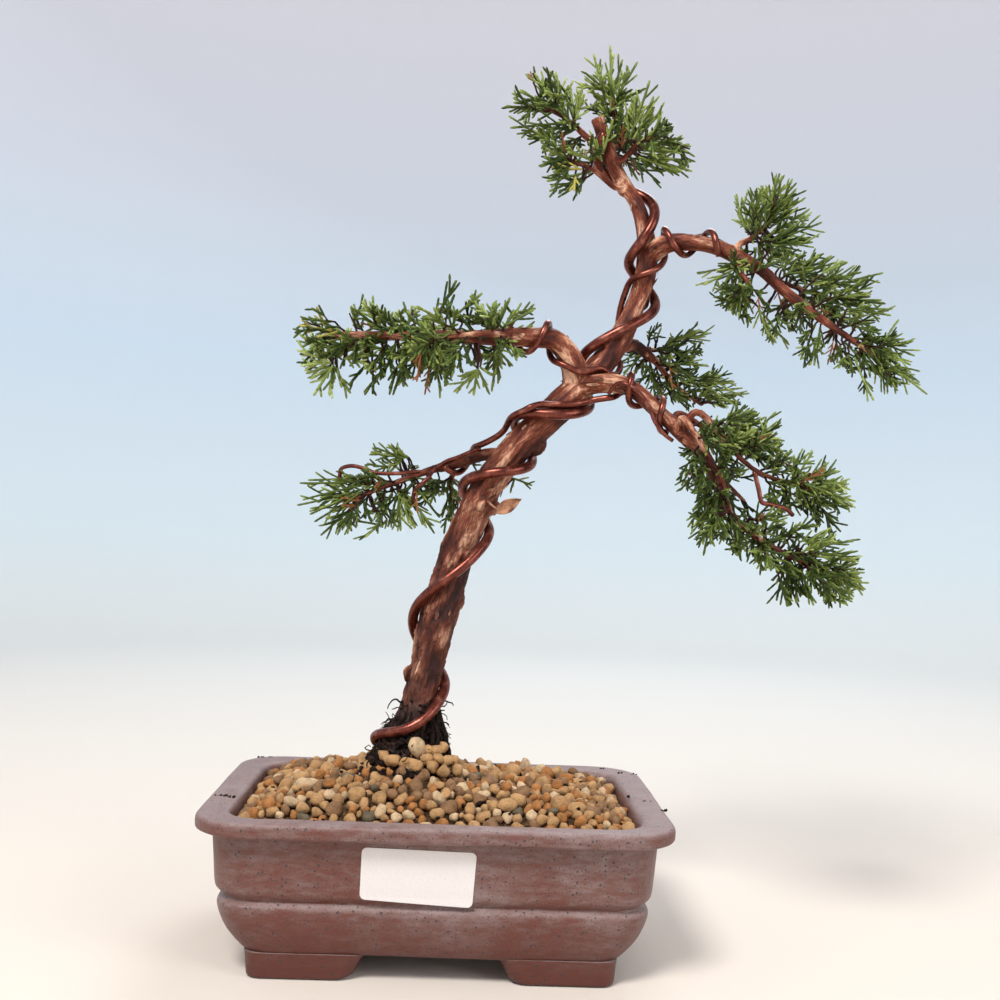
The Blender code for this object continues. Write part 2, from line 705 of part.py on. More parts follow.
def keep_main_shell(target):
    """Drops loose scraps and fills sealed hollows: only the widest shell stays."""
    form = bmesh.new()
    form.from_mesh(target.data)
    left = set(form.verts)
    shells = []
    while left:
        stack = [left.pop()]
        shell = list(stack)
        while stack:
            for edge in stack.pop().link_edges:
                for vert in edge.verts:
                    if vert in left:
                        left.remove(vert)
                        stack.append(vert)
                        shell.append(vert)
        shells.append(shell)
    if len(shells) > 1:
        def spread(shell):
            spots = np.array([vert.co[:] for vert in shell])
            return float(np.linalg.norm(spots.max(axis=0) - spots.min(axis=0)))
        shells.sort(key=spread)
        for shell in shells[:-1]:
            bmesh.ops.delete(form, geom=shell, context="VERTS")
        form.to_mesh(target.data)
    form.free()


def foliage_mass(collection, row, seed, stem, space):
    """One mass: its stem, fused with the twigs and sprays that grow from it."""
    name, _, _, _, _, _, reach, first = row
    made = loft(name, stem.rings(STEM_SIDES), FOLIAGE, collection)
    helper = bpy.data.collections.new(name + "_pieces")
    bpy.context.scene.collection.children.link(helper)
    space.grown.clear()
    sprays = twigs_of(name, stem, reach, first, space, random.Random(seed), helper)
    # The exact solver leaves one mass touching itself along an edge.
    fuse = made.modifiers.new("fuse", "BOOLEAN")
    fuse.operation = "UNION"
    fuse.solver = "MANIFOLD"
    fuse.operand_type = "COLLECTION"
    fuse.collection = helper
    apply_modifiers(made)
    for spare in list(helper.objects):
        bpy.data.objects.remove(spare)
    bpy.data.collections.remove(helper)
    keep_main_shell(made)
    return sprays


def build():
    for old in list(bpy.data.objects):
        bpy.data.objects.remove(old)
    collection = bpy.data.collections.new("juniper_bonsai")
    bpy.context.scene.collection.children.link(collection)

    pot(collection)
    pot_feet(collection)
    gravel_bed(collection)
    root_mound(collection)

    limbs = {"trunk": Limb(TRUNK, TRUNK_STEPS)}
    limbs.update({name: Limb(stations) for name, stations in BOUGHS.items()})
    trunk(collection, limbs["trunk"])
    for name in BOUGHS:
        bough(collection, name, limbs[name], limbs["trunk"])

    thick_route = trunk_wire_route(limbs)
    upper_route = thin_wire_route(UPPER_WIRE_TOUCHES, limbs, thick_route)
    lower_route = thin_wire_route(LOWER_WIRE_TOUCHES, limbs, thick_route)
    wire(collection, "wire_trunk", thick_route, TRUNK_WIRE_RADIUS)
    wire(collection, "wire_upper_boughs", upper_route, THIN_WIRE_RADIUS)
    wire(collection, "wire_lower_boughs", lower_route, THIN_WIRE_RADIUS)
    wires = [
        Limb([(*p, radius + GAP) for p in route], 1)
        for route, radius in (
            (thick_route, TRUNK_WIRE_RADIUS),
            (upper_route, THIN_WIRE_RADIUS),
            (lower_route, THIN_WIRE_RADIUS),
        )
    ]

    stems = {row[0]: stem_of(row, limbs) for row in MASSES}
    reaches = {row[0]: row[6] for row in MASSES}
    space = Space(stems, reaches, list(limbs.values()) + wires)
    total = 0
    for seed, row in enumerate(MASSES):
        count = foliage_mass(collection, row, seed, stems[row[0]], space)
        total += count
        print(row[0], count, "sprays")
    print("sprays in all:", total)


build()
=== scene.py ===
# %% [markdown]
# # A wired juniper bonsai
# The plain solids of the plant come in as a fixed frame. Each step below makes one piece
# or one finish of the real plant around them: the pot, the gravel, the bark, the wires and
# the scale-leaf foliage. Sizes are in millimetres from the middle of the pot, with x to
# the right, y to the back and z up, and are turned into metres only when a mesh is made.

import json
import math
import random

import bmesh
import bpy
import numpy as np
from mathutils import Matrix, Vector, bvhtree, kdtree, noise

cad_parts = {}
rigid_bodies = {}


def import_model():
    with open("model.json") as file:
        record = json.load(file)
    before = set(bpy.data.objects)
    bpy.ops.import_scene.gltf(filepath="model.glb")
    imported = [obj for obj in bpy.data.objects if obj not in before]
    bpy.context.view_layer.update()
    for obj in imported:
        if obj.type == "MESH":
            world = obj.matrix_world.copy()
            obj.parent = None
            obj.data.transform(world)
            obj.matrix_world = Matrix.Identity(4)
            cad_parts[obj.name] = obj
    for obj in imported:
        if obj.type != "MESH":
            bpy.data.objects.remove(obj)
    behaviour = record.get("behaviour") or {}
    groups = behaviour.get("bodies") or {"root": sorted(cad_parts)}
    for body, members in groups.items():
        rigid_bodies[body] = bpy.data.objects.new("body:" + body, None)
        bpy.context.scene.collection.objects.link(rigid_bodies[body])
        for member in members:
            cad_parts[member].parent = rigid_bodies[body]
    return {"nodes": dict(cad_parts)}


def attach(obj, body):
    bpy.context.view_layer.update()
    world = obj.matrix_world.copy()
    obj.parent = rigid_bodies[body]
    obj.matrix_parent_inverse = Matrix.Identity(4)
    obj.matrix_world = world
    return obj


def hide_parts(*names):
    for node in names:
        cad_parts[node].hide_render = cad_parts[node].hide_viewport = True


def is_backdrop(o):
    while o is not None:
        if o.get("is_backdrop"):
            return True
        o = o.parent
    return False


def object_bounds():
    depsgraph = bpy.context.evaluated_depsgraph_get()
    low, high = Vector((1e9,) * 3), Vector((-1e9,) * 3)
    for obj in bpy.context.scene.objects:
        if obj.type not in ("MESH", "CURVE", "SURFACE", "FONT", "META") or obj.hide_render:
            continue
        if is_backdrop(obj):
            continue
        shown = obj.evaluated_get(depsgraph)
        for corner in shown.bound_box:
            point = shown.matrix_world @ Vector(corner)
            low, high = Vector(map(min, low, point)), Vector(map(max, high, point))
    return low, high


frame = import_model()
cad_box = [list(map(float, corner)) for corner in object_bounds()]
scene = bpy.context.scene
MM = 0.001
GAP = 0.3
POT_X = -58.0  # middle of the pot, from the frame's origin
print("nodes in the frame:", len(frame["nodes"]))

# %% [markdown]
# ## Camera, light and floor
# The plant is looked at from the front, almost level with the middle of the trunk, by a
# lens a little longer than normal. The room is pale and most of the light comes from large
# soft lamps in front, so shadows are weak.

# %% Camera
LENS, SENSOR_WIDTH = 44.154, 36.0
NEAREST_SEEN = 0.01
CAMERA_SPOT = (4.78 - 58.0, -565.14, 187.66)
YAW, PITCH, ROLL = 0.0317, 0.0216, 0.0391

across = Vector((math.cos(YAW), -math.sin(YAW), 0.0))
ahead = Vector((math.sin(YAW) * math.cos(PITCH), math.cos(YAW) * math.cos(PITCH), math.sin(PITCH)))
upward = across.cross(ahead)
camera = bpy.data.objects.new("camera", bpy.data.cameras.new("camera"))
camera.data.sensor_width = SENSOR_WIDTH
camera.data.lens = LENS
camera.data.clip_start = NEAREST_SEEN
camera_right = across * math.cos(ROLL) + upward * math.sin(ROLL)
camera_up = upward * math.cos(ROLL) - across * math.sin(ROLL)
camera.matrix_world = Matrix.Translation(Vector(CAMERA_SPOT) * MM) @ Matrix(
    (camera_right, camera_up, -ahead)
).transposed().to_4x4()
scene.collection.objects.link(camera)
scene.camera = camera
print("camera at", tuple(round(value, 3) for value in camera.location))


# %% Lamps and sky
LAMPS = (  # name, where it stands in metres, width, power, colour
    ("key_lamp", (-0.55, -0.95, 1.45), 0.55, 27.0, (1.0, 0.98, 0.95)),
    ("fill_lamp", (1.1, -0.9, 0.75), 0.9, 7.5, (0.99, 0.99, 1.0)),
    ("back_lamp", (0.3, 1.1, 1.3), 0.8, 9.0, (0.96, 0.98, 1.0)),
)
LAMPS_FACE = (0, 0, 0.2)
SKY_COLOUR, SKY_STRENGTH = (0.93, 0.93, 0.94, 1.0), 0.38


def soft_lamp(name, spot, size, power, colour):
    lamp = bpy.data.lights.new(name, "AREA")
    lamp.shape = "DISK"
    lamp.size = size
    lamp.energy = power
    lamp.color = colour
    made = bpy.data.objects.new(name, lamp)
    made.location = spot
    made.rotation_euler = (Vector(LAMPS_FACE) - Vector(spot)).to_track_quat("-Z", "Y").to_euler()
    scene.collection.objects.link(made)


for row in LAMPS:
    soft_lamp(*row)
sky = bpy.data.worlds.new("pale_room")
sky.use_nodes = True
glow = sky.node_tree.nodes["Background"].inputs
glow["Color"].default_value = SKY_COLOUR
glow["Strength"].default_value = SKY_STRENGTH
scene.world = sky
scene.view_settings.view_transform = "Standard"
print("lamps:", ", ".join(row[0] for row in LAMPS))

# %% [markdown]
# ## Finishes
# Every finish is a Principled shader. Two effects come up again and again, a cloudy change
# of tone and small dark specks, so each is a node group that puts out a mask, built once
# and placed in each material with its own scale.


# %% Node helpers
def wire_up(tree, values):
    """Joins (from node, output) to (to node, input) for each pair."""
    for source, output, target, entry in values:
        tree.links.new(source.outputs[output], target.inputs[entry])


def new_group(name, entries):
    """An empty node group with a vector, some numbers in, and a mask out."""
    group = bpy.data.node_groups.new(name, "ShaderNodeTree")
    group.interface.new_socket("Place", in_out="INPUT", socket_type="NodeSocketVector")
    for entry in entries:
        group.interface.new_socket(entry, in_out="INPUT", socket_type="NodeSocketFloat")
    group.interface.new_socket("Mask", in_out="OUTPUT", socket_type="NodeSocketFloat")
    inward = group.nodes.new("NodeGroupInput")
    outward = group.nodes.new("NodeGroupOutput")
    return group, inward, outward


def cloudy_group():
    """Soft cloudy tone: one noise, spread to the full range."""
    group, inward, outward = new_group("cloudy_tone", ("Scale", "Detail"))
    clouds = group.nodes.new("ShaderNodeTexNoise")
    clouds.inputs["Roughness"].default_value = 0.62
    spread = group.nodes.new("ShaderNodeMapRange")
    spread.inputs["From Min"].default_value = 0.32
    spread.inputs["From Max"].default_value = 0.68
    wire_up(group, (
        (inward, "Place", clouds, "Vector"),
        (inward, "Scale", clouds, "Scale"),
        (inward, "Detail", clouds, "Detail"),
        (clouds, "Fac", spread, "Value"),
        (spread, "Result", outward, "Mask"),
    ))
    return group


def speck_group():
    """Small round specks: the middle of each cell, in the share of cells that chance keeps."""
    group, inward, outward = new_group("small_specks", ("Scale", "Radius", "Share"))
    cells = group.nodes.new("ShaderNodeTexVoronoi")
    edge = group.nodes.new("ShaderNodeMath")
    edge.operation = "LESS_THAN"
    chance = group.nodes.new("ShaderNodeSeparateColor")
    kept = group.nodes.new("ShaderNodeMath")
    kept.operation = "LESS_THAN"
    both = group.nodes.new("ShaderNodeMath")
    both.operation = "MULTIPLY"
    wire_up(group, (
        (inward, "Place", cells, "Vector"),
        (inward, "Scale", cells, "Scale"),
        (cells, "Distance", edge, 0),
        (inward, "Radius", edge, 1),
        (cells, "Color", chance, "Color"),
        (chance, "Red", kept, 0),
        (inward, "Share", kept, 1),
        (edge, "Value", both, 0),
        (kept, "Value", both, 1),
        (both, "Value", outward, "Mask"),
    ))
    return group


CLOUDY = cloudy_group()
SPECKS = speck_group()


class Finish:
    """A material under construction: one Principled shader and what feeds it."""

    def __init__(self, name, roughness, metallic=0.0):
        self.material = bpy.data.materials.new(name)
        self.material.use_nodes = True
        self.tree = self.material.node_tree
        self.shader = self.tree.nodes["Principled BSDF"]
        self.shader.inputs["Roughness"].default_value = roughness
        self.shader.inputs["Metallic"].default_value = metallic
        self.place = None

    def node(self, kind, **settings):
        made = self.tree.nodes.new(kind)
        for entry, value in settings.items():
            setattr(made, entry, value)
        return made

    def link(self, output, entry):
        self.tree.links.new(output, entry)

    def read_object(self):
        """Patterns lie in the object's own coordinates."""
        self.place = self.node("ShaderNodeTexCoord").outputs["Object"]
        return self.place

    def attribute(self, name):
        """A vector stored on the mesh."""
        return self.node("ShaderNodeAttribute", attribute_name=name).outputs["Vector"]

    def stretched(self, source, stretch):
        mapping = self.node("ShaderNodeMapping")
        mapping.inputs["Scale"].default_value = stretch
        self.link(source, mapping.inputs["Vector"])
        return mapping.outputs["Vector"]

    def split(self, source):
        """The X, Y and Z of a vector."""
        made = self.node("ShaderNodeSeparateXYZ")
        self.link(source, made.inputs["Vector"])
        return made.outputs

    def mask(self, group, place=None, **numbers):
        made = self.node("ShaderNodeGroup", node_tree=group)
        self.link(place or self.place, made.inputs["Place"])
        for entry, value in numbers.items():
            made.inputs[entry].default_value = value
        return made.outputs["Mask"]

    def ramp(self, factor, stops):
        """A colour for each value of a factor, from (place, colour) stops."""
        made = self.node("ShaderNodeValToRGB")
        elements = made.color_ramp.elements
        while len(elements) < len(stops):
            elements.new(0.5)
        for element, (spot, colour) in zip(elements, stops):
            element.position = spot
            element.color = (*colour, 1.0)
        self.link(factor, made.inputs["Fac"])
        return made.outputs["Color"]

    def number(self, factor, low=0.0, high=1.0, start=0.0, end=1.0):
        """A number that goes from low to high while the factor goes from start to end."""
        made = self.node("ShaderNodeMapRange")
        values = {"From Min": start, "From Max": end, "To Min": low, "To Max": high}
        for entry, value in values.items():
            made.inputs[entry].default_value = value
        self.link(factor, made.inputs["Value"])
        return made.outputs["Result"]

    def maths(self, operation, first, second):
        made = self.node("ShaderNodeMath", operation=operation)
        for entry, value in zip(made.inputs, (first, second)):
            if isinstance(value, (int, float)):
                entry.default_value = value
            else:
                self.link(value, entry)
        return made.outputs["Value"]

    def blend(self, first, share, second, other_share):
        """Two masks added, each by its share."""
        weighed = self.maths("MULTIPLY", first, share)
        return self.maths("ADD", weighed, self.maths("MULTIPLY", second, other_share))

    def over(self, factor, under, colour):
        """A colour laid over another where the factor is 1."""
        made = self.node("ShaderNodeMix", data_type="RGBA")
        self.link(factor, made.inputs["Factor"])
        self.link(under, made.inputs["A"])
        if isinstance(colour, tuple):
            made.inputs["B"].default_value = (*colour, 1.0)
        else:
            self.link(colour, made.inputs["B"])
        return made.outputs["Result"]

    def colour(self, output):
        self.link(output, self.shader.inputs["Base Color"])

    def plain(self, colour):
        self.shader.inputs["Base Color"].default_value = (*colour, 1.0)

    def roughness(self, output):
        self.link(output, self.shader.inputs["Roughness"])

    def bump(self, height, depth, strength=1.0):
        made = self.node("ShaderNodeBump")
        made.inputs["Distance"].default_value = depth
        made.inputs["Strength"].default_value = strength
        self.link(height, made.inputs["Height"])
        self.link(made.outputs["Normal"], self.shader.inputs["Normal"])


# %% [markdown]
# ## Floor
# A round sweep of painted board that curves up into a wall on every side: a profile of a
# few points is spun once about the upright axis. Its colour goes with height, from warm
# white at the foot through pale blue to a pale lilac grey, so the plant stands out from it.


# %% Floor
FLOOR_FLAT, FLOOR_BEND, FLOOR_WALL, FLOOR_LEVEL = 1.3, 0.5, 2.2, -0.0004
FLOOR_TINTED_TO = 1.6  # height where the last tone starts
BEND_STEPS, SPIN_STEPS = 8, 72


def floor_finish():
    board = Finish("painted_board", 0.9)
    split = board.split(board.read_object())
    climb = board.maths("ADD", split["Z"], board.maths("MULTIPLY", split["Y"], 0.06))
    board.colour(board.ramp(board.number(climb, end=FLOOR_TINTED_TO), (
        (0.0, (0.735, 0.66, 0.585)),
        (0.04, (0.72, 0.73, 0.705)),
        (0.16, (0.66, 0.75, 0.79)),
        (0.38, (0.60, 0.705, 0.81)),
        (0.62, (0.67, 0.70, 0.775)),
        (1.0, (0.80, 0.77, 0.81)),
    )))
    return board.material


form = bmesh.new()
profile = [form.verts.new((0.0, 0.0, FLOOR_LEVEL)), form.verts.new((FLOOR_FLAT, 0.0, FLOOR_LEVEL))]
for step in range(1, BEND_STEPS + 1):
    turn = step / BEND_STEPS * math.pi / 2
    reach_out = FLOOR_FLAT + FLOOR_BEND * math.sin(turn)
    climb = FLOOR_LEVEL + FLOOR_BEND * (1 - math.cos(turn))
    profile.append(form.verts.new((reach_out, 0.0, climb)))
profile.append(form.verts.new((FLOOR_FLAT + FLOOR_BEND, 0.0, FLOOR_WALL)))
edges = [form.edges.new(pair) for pair in zip(profile, profile[1:])]
bmesh.ops.spin(
    form, geom=profile + edges, cent=(0, 0, 0), axis=(0, 0, 1),
    angle=2 * math.pi, steps=SPIN_STEPS, use_merge=True,
)
bmesh.ops.remove_doubles(form, verts=form.verts, dist=1e-5)
bmesh.ops.recalc_face_normals(form, faces=form.faces)
bmesh.ops.reverse_faces(form, faces=form.faces)
floor_mesh = bpy.data.meshes.new("floor")
form.to_mesh(floor_mesh)
form.free()
floor_mesh.shade_smooth()
floor_mesh.materials.append(floor_finish())
floor = bpy.data.objects.new("floor", floor_mesh)
scene.collection.objects.link(floor)
floor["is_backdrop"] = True
print("floor faces:", len(floor_mesh.polygons))

# %% [markdown]
# ## Small tools for making meshes
# Long round things, such as a limb, a wire or a shoot, are all a tube that follows a line.
# A tube starts as a cylinder whose upright edges are cut into rings, and each ring is then
# set square to the line. Very many small copies are moved as arrays of points and joined
# into one mesh, because thousands of objects would be slow.


# %% Tubes and heaps of copies
class Shape:
    """A small mesh kept as arrays, ready to be copied many times."""

    def __init__(self, form):
        form.verts.index_update()
        self.spots = np.array([vert.co[:] for vert in form.verts])
        faces = [[vert.index for vert in face.verts] for face in form.faces]
        self.corners = np.array([index for face in faces for index in face])
        self.sizes = np.array([len(face) for face in faces])
        form.free()


def tube_shape(rings, sides):
    """A closed cylinder from z = 0 to z = rings - 1, with a ring of points at each whole z."""
    form = bmesh.new()
    bmesh.ops.create_cone(
        form, cap_ends=True, segments=sides, radius1=1.0, radius2=1.0, depth=rings - 1
    )
    bmesh.ops.translate(form, verts=form.verts, vec=(0, 0, (rings - 1) / 2))
    uprights = [
        edge for edge in form.edges if abs(edge.verts[0].co.z - edge.verts[1].co.z) > 0.5
    ]
    if rings > 2:
        bmesh.ops.subdivide_edges(form, edges=uprights, cuts=rings - 2, use_grid_fill=True)
    return Shape(form)


tube_shapes = {}


def tube(points, radii, sides, flat=None):
    """Arrays of a tube along the points. flat holds two factors for each ring, across it."""
    key = (len(points), sides)
    if key not in tube_shapes:
        tube_shapes[key] = tube_shape(*key)
    shape = tube_shapes[key]
    row = np.rint(shape.spots[:, 2]).astype(int)
    side, across_side = frames(points)
    wide = radii if flat is None else radii * flat[:, 0]
    tall = radii if flat is None else radii * flat[:, 1]
    spots = (
        points[row]
        + side[row] * (shape.spots[:, 0] * wide[row])[:, None]
        + across_side[row] * (shape.spots[:, 1] * tall[row])[:, None]
    )
    return spots, shape


def unit(vector):
    return vector / np.linalg.norm(vector)


def frames(points):
    """Two directions square to the line at each point, turned as little as possible."""
    tangents = np.gradient(points, axis=0)
    tangents /= np.linalg.norm(tangents, axis=1)[:, None]
    side = np.cross(tangents[0], (0.31, 0.95, 0.12))
    sides = []
    for tangent in tangents:
        side = unit(side - tangent * np.dot(side, tangent))
        sides.append(side)
    sides = np.array(sides)
    return sides, np.cross(tangents, sides)


class Heap:
    """Many copies of small shapes, joined into one mesh."""

    def __init__(self):
        self.spots, self.corners, self.sizes = [], [], []
        self.count = 0

    def add(self, spots, shape):
        self.spots.append(spots)
        self.corners.append(shape.corners + self.count)
        self.sizes.append(shape.sizes)
        self.count += len(spots)

    def mesh(self, name):
        spots = (np.concatenate(self.spots) + (POT_X, 0.0, 0.0)) * MM
        corners = np.concatenate(self.corners)
        sizes = np.concatenate(self.sizes)
        mesh = bpy.data.meshes.new(name)
        mesh.vertices.add(len(spots))
        mesh.vertices.foreach_set("co", spots.astype(np.float32).ravel())
        mesh.loops.add(len(corners))
        mesh.loops.foreach_set("vertex_index", corners.astype(np.int32))
        mesh.polygons.add(len(sizes))
        mesh.polygons.foreach_set("loop_start", (np.cumsum(sizes) - sizes).astype(np.int32))
        mesh.update(calc_edges=True)
        mesh.validate()
        mesh.shade_smooth()
        return mesh


def show(name, mesh, finish, nodes=()):
    """Puts a finished mesh in the scene, on the plant's one body, and counts its triangles."""
    mesh.materials.clear()
    mesh.materials.append(finish)
    made = bpy.data.objects.new(name, mesh)
    scene.collection.objects.link(made)
    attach(made, "root")
    if nodes:
        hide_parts(*nodes)
    triangles = sum(polygon.loop_total - 2 for polygon in mesh.polygons)
    print(f"{name}: {triangles} triangles")
    return triangles


def in_metres(point):
    return Vector(((point[0] + POT_X) * MM, point[1] * MM, point[2] * MM))


def mesh_from(form, name):
    mesh = bpy.data.meshes.new(name)
    form.to_mesh(mesh)
    form.free()
    mesh.shade_smooth()
    return mesh


def loft(form, rings):
    """A skin over rings that have the same number of points: a grid, bent round and closed."""
    rows, columns = len(rings), len(rings[0])
    made = bmesh.ops.create_grid(form, x_segments=columns, y_segments=rows - 1, size=1.0)["verts"]
    for row, ring in enumerate(rings):
        for column in range(columns + 1):
            made[row * (columns + 1) + column].co = in_metres(ring[column % columns])
    bmesh.ops.remove_doubles(form, verts=made, dist=1e-7)
    open_edges = [edge for edge in form.edges if edge.is_boundary]
    bmesh.ops.holes_fill(form, edges=open_edges)
    bmesh.ops.recalc_face_normals(form, faces=form.faces)


def rounded(levels, times):
    """Cuts the corners of a profile again and again, which rounds it."""
    rows = np.array(levels, float)
    for _ in range(times):
        near = rows[:-1] * 0.75 + rows[1:] * 0.25
        far = rows[:-1] * 0.25 + rows[1:] * 0.75
        middle = np.stack([near, far], axis=1).reshape(-1, rows.shape[1])
        rows = np.vstack([rows[:1], middle, rows[-1:]])
    return rows


# %% [markdown]
# ## Pot
# An unglazed tray of purple-brown stoneware with rounded corners, a thick rolled rim, a
# groove round its waist and a belly that tucks in above four feet. Its outline is a
# rounded rectangle at every height, so it is lofted from rings: the wall's profile is a
# short list of heights and insets whose corners are then cut round. A slow noise moves the
# wall a fraction of a millimetre, as a hand-pressed pot is never quite true.

# %% Pot body and feet
POT_WIDTH, POT_DEPTH, POT_HEIGHT = 200.0, 145.0, 65.4
POT_CORNER = 23.0
POT_PROFILE = (
    (10.0, 50.0, 40.0),
    (10.0, 24.5, 15.5),
    (10.2, 21.8, 13.2),
    (12.6, 19.0, 11.8),
    (17.5, 14.0, 10.4),
    (23.0, 11.0, 9.4),
    (27.0, 9.7, 8.9),
    (28.8, 9.6, 8.9),
    (30.2, 10.2, 9.4),
    (31.2, 11.8, 10.7),
    (32.0, 12.2, 11.0),
    (32.8, 11.3, 10.2),
    (34.2, 9.2, 8.9),
    (36.0, 8.3, 8.2),
    (46.0, 7.6, 7.5),
    (57.0, 6.7, 6.7),
    (58.6, 6.3, 6.3),
    (58.8, 2.4, 2.4),
    (59.6, 0.3, 0.3),
    (61.0, 0.0, 0.0),
    (64.0, 0.0, 0.0),
    (65.5, 0.9, 0.9),
    (65.6, 3.4, 3.4),
    (65.4, 10.0, 10.0),
    (64.8, 12.9, 12.9),
    (62.0, 14.2, 14.2),
    (50.0, 15.6, 15.4),
    (40.0, 16.6, 16.0),
    (22.0, 19.0, 17.5),
    (18.0, 40.0, 40.0),
)
FEET_LEVELS = (  # height, length, how far the outer faces move out, taper in depth
    (0.0, 38.0, -1.2, 3.0),
    (0.0, 41.0, -0.3, 0.8),
    (0.9, 43.2, 0.0, 0.0),
    (2.6, 45.0, 0.2, 0.0),
    (5.2, 46.4, 0.4, 0.0),
    (7.8, 47.8, 0.6, -0.3),
    (10.6, 50.5, 0.9, -1.0),
)
FOOT_WIDTH, FOOT_END_X, FOOT_FRONT_Y, FOOT_CORNER = 24.0, 76.0, 59.2, 6.0
CORNER_TIGHTENS, SMALLEST_CORNER = 0.55, 6.0  # the corner's radius shrinks with the inset
CORNER_STEPS = 12
SIDE_STEPS = 16
POT_UNEVEN = ((38.0, 0.35), (9.0, 0.10))  # width and depth of the unevenness


def rounded_rectangle(half_x, half_y, corner, z):
    """Points round a rectangle: an arc at each corner and even steps along each side."""
    arcs = []
    for quarter, (sx, sy) in enumerate(((1, 1), (-1, 1), (-1, -1), (1, -1))):
        turns = (quarter + np.arange(CORNER_STEPS + 1) / CORNER_STEPS) * math.pi / 2
        arcs.append(np.stack([
            sx * (half_x - corner) + corner * np.cos(turns),
            sy * (half_y - corner) + corner * np.sin(turns),
            np.full(CORNER_STEPS + 1, z),
        ], axis=1))
    ring = []
    for arc, after in zip(arcs, arcs[1:] + arcs[:1]):
        ring.extend(arc)
        for step in range(1, SIDE_STEPS):
            ring.append(arc[-1] + (after[0] - arc[-1]) * step / SIDE_STEPS)
    return np.array(ring)


def pot_ring(height, inset_x, inset_y):
    corner = max(POT_CORNER - CORNER_TIGHTENS * inset_x, SMALLEST_CORNER)
    return rounded_rectangle(POT_WIDTH / 2 - inset_x, POT_DEPTH / 2 - inset_y, corner, height)


def uneven(mesh, size, depth):
    """Moves each point along its normal by a slow noise, like clay pressed by hand."""
    count = len(mesh.vertices)
    spots, normals = np.empty(count * 3, np.float32), np.empty(count * 3, np.float32)
    mesh.vertices.foreach_get("co", spots)
    mesh.vertices.foreach_get("normal", normals)
    spots, normals = spots.reshape(-1, 3), normals.reshape(-1, 3)
    push = [noise.noise(Vector(spot)) for spot in spots / (size * MM)]
    moved = spots + normals * (np.array(push)[:, None] * depth * MM)
    mesh.vertices.foreach_set("co", moved.astype(np.float32).ravel())
    mesh.update()


def stoneware_finish():
    clay = Finish("stoneware", 0.55)
    clay.read_object()
    blush = clay.mask(CLOUDY, Scale=26.0, Detail=4.0)
    flattened = clay.stretched(clay.place, (1.0, 1.0, 3.2))
    streaks = clay.mask(CLOUDY, flattened, Scale=120.0, Detail=6.0)
    mixed = clay.blend(blush, 0.45, streaks, 0.55)
    base = clay.ramp(mixed, (
        (0.20, (0.134, 0.040, 0.028)),
        (0.42, (0.146, 0.064, 0.052)),
        (0.62, (0.170, 0.094, 0.082)),
        (0.86, (0.215, 0.140, 0.132)),
    ))
    # Towards its foot the pot is a darker, redder brown.
    low_down = clay.number(clay.split(clay.place)["Z"], high=0.92, start=0.030, end=0.004)
    base = clay.over(low_down, base, (0.086, 0.017, 0.009))
    # Faces that look up, and the top of the rim, get a painted sheen: a paler, bluish colour where light
    # from above falls, broken by the streaks.
    normal = clay.node("ShaderNodeNewGeometry").outputs["Normal"]
    facing_up = clay.number(clay.split(normal)["Z"], start=0.1, end=0.95)
    painted_sheen = clay.maths("MULTIPLY", facing_up, clay.number(streaks, 0.35, 0.95))
    base = clay.over(painted_sheen, base, (0.285, 0.205, 0.195))
    coarse = clay.mask(SPECKS, Scale=620.0, Radius=0.30, Share=0.12)
    fine = clay.mask(SPECKS, Scale=1350.0, Radius=0.36, Share=0.26)
    base = clay.over(clay.number(fine, 0.0, 0.75), base, (0.030, 0.026, 0.032))
    base = clay.over(clay.number(coarse, 0.0, 0.85), base, (0.022, 0.026, 0.04))
    clay.colour(base)
    grit = clay.mask(CLOUDY, Scale=900.0, Detail=3.0)
    clay.roughness(clay.number(streaks, 0.36, 0.56))
    clay.bump(clay.maths("SUBTRACT", grit, clay.maths("MULTIPLY", coarse, 0.8)), 0.00022, 0.55)
    clay.shader.inputs["Specular IOR Level"].default_value = 0.45
    return clay.material


STONEWARE = stoneware_finish()
form = bmesh.new()
loft(form, [pot_ring(*level) for level in rounded(POT_PROFILE, 2)])
pot_mesh = mesh_from(form, "pot_body")
for size, depth in POT_UNEVEN:
    uneven(pot_mesh, size, depth)
show("pot_body", pot_mesh, STONEWARE, ["pot"])

for front, sy in (("front", -1), ("back", 1)):
    for hand, sx in (("left", -1), ("right", 1)):
        rings = []
        for z, length, out, taper in rounded(FEET_LEVELS, 2):
            ring = rounded_rectangle(length / 2, (FOOT_WIDTH - taper) / 2, FOOT_CORNER, z)
            middle_x = FOOT_END_X + out - length / 2
            middle_y = FOOT_FRONT_Y + out * 0.4 - FOOT_WIDTH / 2
            rings.append(ring + (sx * middle_x, sy * middle_y, 0.0))
        form = bmesh.new()
        loft(form, rings)
        name = f"pot_foot_{front}_{hand}"
        foot_mesh = mesh_from(form, name + "_clay")
        show(name + "_clay", foot_mesh, STONEWARE, [name])

# %% [markdown]
# ## Blank label
# A white paper label with rounded corners is stuck on the front wall, a little crooked.
# It is one face with its corners bevelled round, cut into a grid and laid a hair in front
# of the wall, so it follows the slope. Its lower edge hangs clear of the groove.

# %% Label
LABEL_CORNERS = ((-29.6, 56.2), (16.9, 55.2), (15.8, 32.6), (-29.9, 34.9))  # x, z on the wall
LABEL_ROUND = 2.2
LABEL_THICK = 0.18
LABEL_LIFT = 0.12
LABEL_HANGS_FROM = 36.5  # below this the wall falls back into the groove


def paper_finish():
    paper = Finish("label_paper", 0.45)
    paper.read_object()
    fibre = paper.mask(CLOUDY, Scale=1800.0, Detail=3.0)
    paper.colour(paper.ramp(fibre, ((0.0, (0.68, 0.64, 0.62)), (1.0, (0.75, 0.71, 0.69)))))
    paper.bump(fibre, 0.00004, 0.4)
    return paper.material


